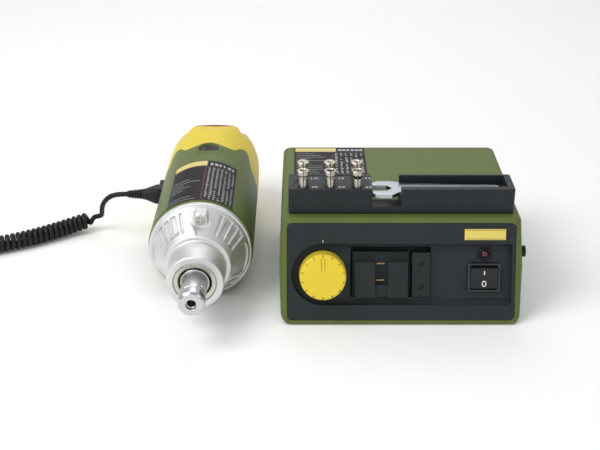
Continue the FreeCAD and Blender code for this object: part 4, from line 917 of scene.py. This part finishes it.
LID_TITLE = (-80.4, 60.2, -45.8, 67.6)
LID_RULES = [(-80.4, 58.4, -22.4, 58.9), (-49.0, 11, -48.6, 56)]
patches("lid_label", [(*LABEL_LOW, *LABEL_HIGH)], on_lid, LABEL_PROUD, label_black, "control_unit", 2)
patches("lid_label_title", [LID_TITLE], on_lid, PRINT_HIGH, label_yellow, "control_unit", 2)
patches("lid_label_red", LID_RULES, on_lid, PRINT_HIGH, label_red, "control_unit", 2)
lid_marks = dashes(-43.9, -22.9, 62, 66, 6, 1, 3.0, 3.2, 4) + dashes(-46.9, -22.9, 14, 56, 6, 15, 2.4, 1.2, 5)
patches("lid_label_white", lid_marks, on_lid, PRINT_HIGH, label_white, "control_unit", 2)
patches("lid_label_grey", dashes(-79.4, -51.4, 14, 56, 1, 12, 26, 0.7, 6), on_lid, PRINT_HIGH, label_grey,
        "control_unit", 2)


# ------------------------------------------------------------------ nose casting
# An aluminium die casting: a clamping collar, a cone with deep pockets between thin fins above and
# below, smooth hollows at the sides, two screw bosses, and a thin turned rim at the housing.

motor_low, motor_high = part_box("motor_housing")
motor_x = (motor_low.x + motor_high.x) / 2
MOTOR_HIGH, MOTOR_RADIUS = 41.0, 41.0
NOSE_TURN = math.radians(4)
COLLAR_RADIUS, COLLAR_FACE, COLLAR_END = 21.5, -104.6, -79.6
CONE_START, CONE_END, CONE_SMALL, CONE_LARGE = -76.6, -54.9, 25.5, 37.2
RIM_RADIUS, RIM_FRONT, RIM_BACK = 40.2, -51.9, -47.8
POCKETS = [26.5, 37.3, 48.0, 59.0]
POCKET_HALF = [1.0, 2.3, 2.3, 2.2]
BOSS_RING, BOSS_RADIUS, BOSS_FACE = 33.0, 6.0, -65.9


def on_motor(turn, radius, along):
    """A place about the motor's axis: angle from the top towards the unit, radius and distance."""
    return np.stack([motor_x + radius * np.sin(turn) * MM, along * MM + 0 * turn,
                     (MOTOR_HIGH + radius * np.cos(turn)) * MM], -1)


def step(value, width):
    """Smooth rise from 0 to 1 as a value goes from -width / 2 to width / 2."""
    share = np.clip(value / width + 0.5, 0, 1)
    return share * share * (3 - 2 * share)


def cone_sink(turn, radius):
    """How far the casting's cone is sunk: fin pockets, side bowls and the hollow under each boss."""
    fold = np.abs((np.degrees(turn) + 90) % 180 - 90)
    window = step(radius - 27.9, 1.2) * step(36.4 - radius, 1.2)
    sunk = 0 * radius + 0 * turn
    for middle, half in zip(POCKETS, POCKET_HALF):
        across = np.radians(fold - middle) * radius
        sunk = np.maximum(sunk, 3.0 * step(half - np.abs(across), 0.8) * window)
    bowl = np.clip(1 - ((fold - 90) / 24) ** 2, 0, 1) * np.sin(np.pi * np.clip((radius - 25.5) / 11.9, 0, 1))
    sunk = np.maximum(sunk, 4.0 * np.sqrt(bowl) * step(bowl - 0.12, 0.24))
    vee = np.radians(13 * np.clip((radius - 24) / 7, 0, 1)) * radius - np.radians(fold) * radius
    return np.maximum(sunk, 2.4 * step(vee, 1.2) * step(31 - radius, 1.6))


def nose_grid(columns, cone_rows):
    """Turned profile of the casting; in the cone the height is also lowered by cone_sink and bosses."""
    front = eased([(16.0, COLLAR_FACE + 3), (16.0, COLLAR_FACE + 0.7), (16.7, COLLAR_FACE),
                   (20.6, COLLAR_FACE), (COLLAR_RADIUS, COLLAR_FACE + 0.9), (COLLAR_RADIUS, COLLAR_END - 1),
                   (22.2, COLLAR_END + 1.2), (24.0, COLLAR_END + 1.4), (25.4, COLLAR_END + 2.2)], 1.0, steps=4)
    radius = np.linspace(CONE_SMALL, CONE_LARGE, cone_rows)
    slope = (CONE_END - CONE_START) / (CONE_LARGE - CONE_SMALL)
    cone = np.stack([radius, CONE_START + (radius - CONE_SMALL) * slope], -1)
    back = eased([(37.7, CONE_END + 0.4), (38.4, RIM_FRONT - 0.2), (39.6, RIM_FRONT),
                  (RIM_RADIUS, RIM_FRONT + 0.6), (RIM_RADIUS, RIM_BACK - 0.4), (39.7, RIM_BACK), (37.4, RIM_BACK),
                  (35.8, -50.6), (28.5, -59.0), (19.5, -72.0), (13.0, -80.0), (13.0, -89.3), (16.0, -89.3),
                  (16.0, COLLAR_FACE + 3)], 0.4, steps=3)
    profile = np.concatenate([front, cone, back])
    inside = np.zeros(len(profile))
    inside[len(front):len(front) + cone_rows] = 1
    turn = np.linspace(0, math.tau, columns + 1)[None, :-1]
    radius, along = profile[:, :1], profile[:, 1:] + 0 * turn
    along = along + inside[:, None] * cone_sink(turn, radius)
    across = radius * np.sin(turn)
    reach = np.hypot(across, radius * np.abs(np.cos(turn)) - BOSS_RING)
    share = inside[:, None] * step(BOSS_RADIUS - 0.3 - reach, 0.9)
    along = along * (1 - share) + (BOSS_FACE - 0.02 * reach) * share
    return on_motor(turn + NOSE_TURN, radius + 0 * turn, along)


cast_aluminium = turned_metal("cast_aluminium", (0.74, 0.74, 0.74), 0.47, scale=2200, depth=0.5, spread=0.05)
nose_points = nose_grid(640, 76)
nose_faces = grid_faces(*nose_points.shape[:2], wrap_rows=True, wrap_columns=True)
nose = put_mesh("nose_bell", nose_points, nose_faces)
nose.data.materials.append(cast_aluminium)
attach(nose, "motor")
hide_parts("nose_casting")


# ------------------------------------------------------------------ screws of the nose
# Two pan-head screws with cross recesses, sunk into their bosses.

SCREW_HEAD, SCREW_STEM, SCREW_PROUD = 4.4, 1.9, 2.4


def screw_grid(columns):
    """Head and stem of a screw; the face is lowered where the two slots of its cross recess run."""
    face = np.concatenate([np.linspace(0, 3.6, 25), [4.0, 4.25, SCREW_HEAD]])
    turn = np.linspace(0, math.tau, columns + 1)[None, :-1]
    crown = -SCREW_PROUD * (1 - (face / SCREW_HEAD) ** 4)[:, None] * 0.45 - 0.2
    u, v = face[:, None] * np.cos(turn), face[:, None] * np.sin(turn)
    arm = np.minimum(np.abs(u), np.abs(v))
    cross = step(0.55 - arm, 0.35) * step(2.6 - face[:, None], 0.5)
    head = np.stack([u, v, crown + 1.5 * cross], -1)
    rest = [(SCREW_HEAD, 1.2), (SCREW_STEM, 1.2), (SCREW_STEM, 16.0), (0, 16.0)]
    tail = np.array([np.stack([r * np.cos(turn[0]), r * np.sin(turn[0]), s + 0 * turn[0]], -1)
                     for r, s in rest])
    return np.concatenate([head, tail])


screw_steel = turned_metal("screw_steel", (0.50, 0.49, 0.46), 0.3)
screw_points = screw_grid(128)
for name, turn in (("nose_screw_top", NOSE_TURN), ("nose_screw_bottom", NOSE_TURN + math.pi)):
    middle = on_motor(np.array(turn), BOSS_RING, np.array(BOSS_FACE + 0.3))
    placed = middle + np.stack([screw_points[..., 0], screw_points[..., 2], screw_points[..., 1]], -1) * MM
    screw = put_mesh(name, placed, grid_faces(*screw_points.shape[:2], wrap_columns=True))
    screw.data.materials.append(screw_steel)
    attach(screw, "motor")
    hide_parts("nose_screws")


# ------------------------------------------------------------------ bearing cover and spindle nose
# A turned ring closes the bearing's bore; the spindle's shoulder runs in it, and the round union nut
# has a chamfered mouth and a hole for the tommy bar.

axis_at = np.array([motor_x, 0, MOTOR_HIGH * MM])
AXIS = (0, 1, 0)
cover_profile = eased([(11.4, -102.0), (12.9, -104.0), (15.3, -104.2), (15.95, -103.7), (15.95, -98.6),
                       (11.4, -98.6), (11.4, -102.0)], 0.3)
cover = turned("bearing_cover", cover_profile, axis_at, AXIS, steps=160)
cover.data.materials.append(turned_metal("cover_steel", (0.60, 0.58, 0.50), 0.3))
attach(cover, "motor")

slinger_profile = eased([(9.52, -103.9), (10.4, -104.0), (10.95, -103.5), (10.95, -102.2), (9.52, -102.2),
                         (9.52, -103.9)], 0.25)
slinger = turned("spindle_ring", slinger_profile, axis_at, AXIS, steps=128)
slinger.data.materials.append(bright_steel)
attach(slinger, "rotor")

NUT_RADIUS, NUT_FRONT, NUT_REAR = 10.0, -136.3, -119.3
TOMMY_ALONG, TOMMY_RADIUS, TOMMY_TURN = -121.6, 1.2, math.radians(52)


def tommy_hole(turn, along):
    """Radius ripple: a small round hole sunk near the nut's rear edge."""
    reach = np.hypot(NUT_RADIUS * np.sin(turn - TOMMY_TURN), along - TOMMY_ALONG)
    return 1 - 0.22 * step(TOMMY_RADIUS - reach, 0.3) * (np.cos(turn - TOMMY_TURN) > 0)


def nut_profile():
    """Closed outline of the nut: chamfered mouth, outside with a shallow groove, and thread bore."""
    outside = [(3.6, NUT_FRONT + 1.6), (4.0, NUT_FRONT), (8.3, NUT_FRONT), (9.9, NUT_FRONT + 1.9),
               (NUT_RADIUS, NUT_FRONT + 9.6), (9.7, NUT_FRONT + 9.9), (9.7, NUT_FRONT + 10.5),
               (NUT_RADIUS, NUT_FRONT + 10.8), (NUT_RADIUS, TOMMY_ALONG - 1.6)]
    fine = [(NUT_RADIUS, s) for s in np.linspace(TOMMY_ALONG - 1.55, TOMMY_ALONG + 1.55, 26)]
    inside = [(NUT_RADIUS, NUT_REAR - 0.6), (9.6, NUT_REAR), (7.02, NUT_REAR), (7.02, NUT_FRONT + 4),
              (4.75, NUT_FRONT + 3.4), (4.75, NUT_FRONT + 2.4), (3.6, NUT_FRONT + 1.6)]
    return np.concatenate([eased(outside, 0.35), np.array(fine), eased(inside, 0.3)])


nut = turned("union_nut", nut_profile(), axis_at, AXIS, steps=300, ripple=tommy_hole)
nut_steel = turned_metal("nut_steel", (0.58, 0.59, 0.60), 0.24, scale=260, depth=0.04, stretch=(0.2, 4, 0.2))
nut.data.materials.append(nut_steel)
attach(nut, "rotor")
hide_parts("collet_nut")


# ------------------------------------------------------------------ motor housing and rear cap
# Green housing and yellow cap meet along a wavy line: two tongues of the cap reach forward over the
# sides. The cap narrows to a squarish end, and a raised ring stands round the brush cap on top.

CAP_END, HOUSING_WALL = 136.3, 3.0
BRUSH_AT, RING_RISE, SEAT_DEEP, SEAT_RADIUS = 59.9, 0.9, 2.5, 8.25
INLET_AT, INLET_HALF_LONG, INLET_HALF = 55.0, 10.1, math.radians(13)
JOINT_TURNS = [0, 10, 20, 30, 34, 40, 46, 52, 57, 60, 69, 90]
JOINT_ALONG = [71.5, 70.5, 68, 68, 72, 81, 85, 84, 68, 62, 56, 56]
FLAT_START, FLAT_LOW = 103.7, 32.0
FLAT_SLOPE = (MOTOR_RADIUS - FLAT_LOW) / (CAP_END - FLAT_START)
ROUND_END = 2.5


def columns_of(turn_step):
    """Angles round the motor, closer at the brush caps and at the window for the lead."""
    fine = [np.arange(-20, 20, 0.5), np.arange(160, 200, 0.5),
            np.arange(30, 64, 0.5), np.arange(296, 330, 0.5)]
    edges = np.degrees([1.5 * math.pi - INLET_HALF, 1.5 * math.pi + INLET_HALF])
    every = np.concatenate([np.arange(0, 360, turn_step)] + fine) % 360
    every = every[np.abs(every[:, None] - edges[None]).min(1) > 0.3]
    return np.radians(np.unique(np.round(np.concatenate([every, edges]), 4)))


def joint_line(turn):
    """Distance along the axis where the green housing ends, for each angle."""
    fold = np.abs((np.degrees(turn) + 90) % 180 - 90)
    soft = np.mean([np.interp(np.clip(fold + k, 0, 90), JOINT_TURNS, JOINT_ALONG)
                    for k in (-2, -1, 0, 1, 2)], 0)
    beside = np.degrees(np.abs(turn - 1.5 * math.pi))
    share = step(23 - beside, 18)
    return soft * (1 - share) + 68 * share


def two_walls(name, outer, inner, dropped=None):
    """A closed shell from an outer and an inner grid; cells in the dropped mask are cut through."""
    rows, columns = outer.shape[:2]
    gone = np.zeros((rows - 1, columns), bool) if dropped is None else dropped
    quads = grid_faces(rows, columns, wrap_columns=True)[~gone.reshape(-1)]
    half = rows * columns
    padded = np.pad(gone, ((1, 1), (0, 0)), constant_values=True)
    r, c = np.nonzero(padded[:-1] != padded[1:])
    level = np.stack([r * columns + c, r * columns + (c + 1) % columns], -1)
    r, c = np.nonzero(gone != np.roll(gone, -1, 1))
    upright = np.stack([r * columns + (c + 1) % columns, (r + 1) * columns + (c + 1) % columns], -1)
    edge = np.concatenate([level, upright])
    rims = np.stack([edge[:, 0], edge[:, 1], edge[:, 1] + half, edge[:, 0] + half], -1)
    points = np.concatenate([outer.reshape(-1, 3), inner.reshape(-1, 3)])
    item = put_mesh(name, points, np.concatenate([quads, quads + half, rims]))
    loose = bmesh.new()
    loose.from_mesh(item.data)
    bmesh.ops.delete(loose, geom=[e for e in loose.edges if not e.link_faces], context="EDGES")
    bmesh.ops.delete(loose, geom=[v for v in loose.verts if not v.link_faces], context="VERTS")
    loose.to_mesh(item.data)
    loose.free()
    return item


def housing_rows():
    """Distances along the housing, from the rim of the casting to the front edge of the lead's window."""
    return np.concatenate([[RIM_BACK, RIM_BACK + 0.3, RIM_BACK + 0.9, RIM_BACK + 1.8],
                           np.linspace(-42, INLET_AT - INLET_HALF_LONG, 14)])


def brush_relief(turn, along):
    """Radial offset round a brush cap: a raised ring that fades outwards, and a sunk seat inside."""
    across = MOTOR_RADIUS * np.sin(turn)
    reach = np.hypot(across, along - BRUSH_AT)
    rise = RING_RISE * step(reach - 8.6, 0.8) * (1 - step(reach - 11.6, 4.2)) * (np.cos(turn) > 0)
    return np.where(np.abs(np.cos(turn)) > 0.9, rise - SEAT_DEEP * step(SEAT_RADIUS - reach, 0.5), 0)


turns = columns_of(1.25)[None]
joint = joint_line(turns)
near = np.linspace(0, 1, 62)[1:, None] ** 0.9
front_rows = housing_rows()[:, None] + 0 * turns
window_end = INLET_AT + INLET_HALF_LONG
rear_rows = front_rows[-1:] + near * (joint - front_rows[-1:])
housing_along = np.concatenate([front_rows, rear_rows])
lip = 0.9 * step(RIM_BACK + 0.9 - housing_along, 1.8) + 0.3 * step(housing_along - joint + 0.25, 0.5)
housing_radius = MOTOR_RADIUS - lip + brush_relief(turns, housing_along)
housing_outer = on_motor(turns + 0 * housing_along, housing_radius, housing_along)
housing_inner = on_motor(turns + 0 * housing_along, MOTOR_RADIUS - HOUSING_WALL + 0 * housing_along,
                         housing_along)
cell_along = (housing_along[1:] + housing_along[:-1]) / 2
cell_turn = (turns + np.roll(turns, -1, 1) + math.tau * (np.roll(turns, -1, 1) < turns)) / 2
in_window = (np.abs(cell_turn - 1.5 * math.pi) < INLET_HALF) & (cell_along > INLET_AT - INLET_HALF_LONG)
in_window &= cell_along < window_end
housing = two_walls("housing_shell", housing_outer, housing_inner, in_window)
housing_plastic = moulded("housing_plastic", CASE_GREEN, 0.42, depth=0.3, spread=0.04)
housing.data.materials.append(housing_plastic)
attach(housing, "motor")
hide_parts("motor_housing")


def cap_radius(turn, along):
    """Outside of the cap: a cylinder, then a taper, cut by flats above and below, with a notch."""
    base = np.interp(along, [0, 93.7, 116.3, 131.3, 134.8, 136.3], [41, 41, 40.4, 38, 37, 36.4])
    late = np.clip((along - FLAT_START) / (CAP_END - FLAT_START), 0, 1)
    flat = MOTOR_RADIUS - np.clip(along - FLAT_START, 0, None) * FLAT_SLOPE
    flat = flat / np.maximum(np.abs(np.cos(turn)), 0.3)
    fold = np.abs((np.degrees(turn) + 90) % 180 - 90)
    notch = 2.6 * np.exp(-((fold - 42) / 4.5) ** 2) * late
    return np.minimum(base - notch, flat)


cap_share = np.concatenate([[0, 0.004, 0.012], np.linspace(0.03, 1, 64)])[:, None]
cap_along = joint + cap_share * (CAP_END - ROUND_END - joint)
cap_outside = cap_radius(turns, cap_along) - 0.3 * step(joint + 0.25 - cap_along, 0.5)
bend = np.linspace(0, math.pi / 2, 7)[1:, None]
end_along = CAP_END - ROUND_END + ROUND_END * np.sin(bend) + 0 * turns
end_outside = cap_radius(turns, end_along) - ROUND_END * (1 - np.cos(bend))
face_outside = end_outside[-1:] * np.array([0.97, 0.9, 0.6, 0.3, 0.0])[:, None]
face_along = CAP_END + 0 * face_outside
outer_radius = np.concatenate([cap_outside, end_outside, face_outside])
outer_along = np.concatenate([cap_along, end_along, face_along])
inner_radius = np.clip(np.minimum(outer_radius, cap_radius(turns, outer_along)) - HOUSING_WALL, 0, None)
inner_along = np.minimum(outer_along, CAP_END - HOUSING_WALL)
cap_outer = on_motor(turns + 0 * outer_along, outer_radius, outer_along)
cap_inner = on_motor(turns + 0 * outer_along, inner_radius, inner_along)
cap = two_walls("cap_shell", cap_outer, cap_inner)
cap_yellow = moulded("cap_yellow", (0.72, 0.56, 0.035), 0.42, depth=0.25, spread=0.03)
cap.data.materials.append(cap_yellow)
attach(cap, "motor")
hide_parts("rear_cap")


def on_housing(across, along, out):
    """A place on the housing, in millimetres of arc from the top, along the axis and outwards."""
    return on_motor(across / MOTOR_RADIUS, MOTOR_RADIUS + out, along)


MARK_HALF, MARK_RISE = 17.0, 0.9


def on_cap(across, along, out):
    """A place on a low arched rib along the rear edge of the cap's flat top, in millimetres."""
    rib = np.where(out > 0, MARK_RISE * (1 - (across / MARK_HALF) ** 2), 0)
    return np.stack([motor_x + across * MM, along * MM + 0 * across,
                     (MOTOR_HIGH + MOTOR_RADIUS - (along - FLAT_START) * FLAT_SLOPE + out + rib) * MM], -1)


patches("cap_edge_mark", [(-MARK_HALF, 132.2, MARK_HALF, 133.6)], on_cap, 0.1, label_red, "motor", 40)

brush_cap_profile = eased([(0, 40.0), (2.6, 40.0), (2.6, 40.5), (7.2, 40.6), (7.85, 40.2), (7.85, 37.0),
                           (0, 37.0)], 0.3)
for name, way in (("brush_cap_top", 1), ("brush_cap_bottom", -1)):
    brush_cap = turned(name, brush_cap_profile, (motor_x, BRUSH_AT * MM, MOTOR_HIGH * MM), (0, 0, way),
                       steps=96)
    brush_cap.data.materials.append(gloss_black)
    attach(brush_cap, "motor")
    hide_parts("brush_caps")


# ------------------------------------------------------------------ label on the motor
# The same kind of plate, bent round the top of the housing.

ARC_LEFT, ARC_RIGHT = -27.2, 27.2
patches("motor_label", [(ARC_LEFT, -46, ARC_RIGHT, 32)], on_housing, LABEL_PROUD, label_black, "motor")
patches("motor_label_title", [(ARC_LEFT + 0.6, 21.5, 1.4, 31)], on_housing, PRINT_HIGH, label_yellow,
        "motor")
patches("motor_label_red", [(0.6, -44, 1.2, 18), (ARC_LEFT + 1, 19.2, ARC_RIGHT - 1, 19.8)], on_housing,
        PRINT_HIGH, label_red, "motor")
motor_marks = dashes(4, 25.5, 23, 29, 6, 1, 3.0, 4.0, 7) + dashes(3.2, 26, -43, 17, 7, 17, 2.2, 1.3, 8)
patches("motor_label_white", motor_marks, on_housing, PRINT_HIGH, label_white, "motor")
patches("motor_label_grey", dashes(-26, -1, -43, -4, 1, 9, 24, 0.9, 9), on_housing, PRINT_HIGH,
        label_grey, "motor")


# ------------------------------------------------------------------ inside the motor
# Bearings, shaft, laminated cores and windings, carbon brushes on a copper commutator, a plastic fan.

fan_plastic = moulded("fan_plastic", (0.05, 0.05, 0.055), 0.5)
brass = turned_metal("brass", (0.62, 0.46, 0.18), 0.3)
carbon = plain_look("carbon", (0.02, 0.02, 0.021), 0.6)
dressed(bright_steel, "front_bearing_inner", "front_bearing_balls", "front_bearing_outer",
        "rear_bearing_inner", "rear_bearing_outer", "brush_springs")
dressed(shaft_steel, "spindle", "nose_collet")
dressed(core_steel, "stator_core", "armature_core")
dressed(wound_copper, "field_coils", "armature_winding", "commutator")
dressed(carbon, "carbon_brushes")
dressed(brass, "brush_holders")
dressed(fan_plastic, "cooling_fan", "bearing_bracket")
dressed(gloss_black, "lead_inlet")
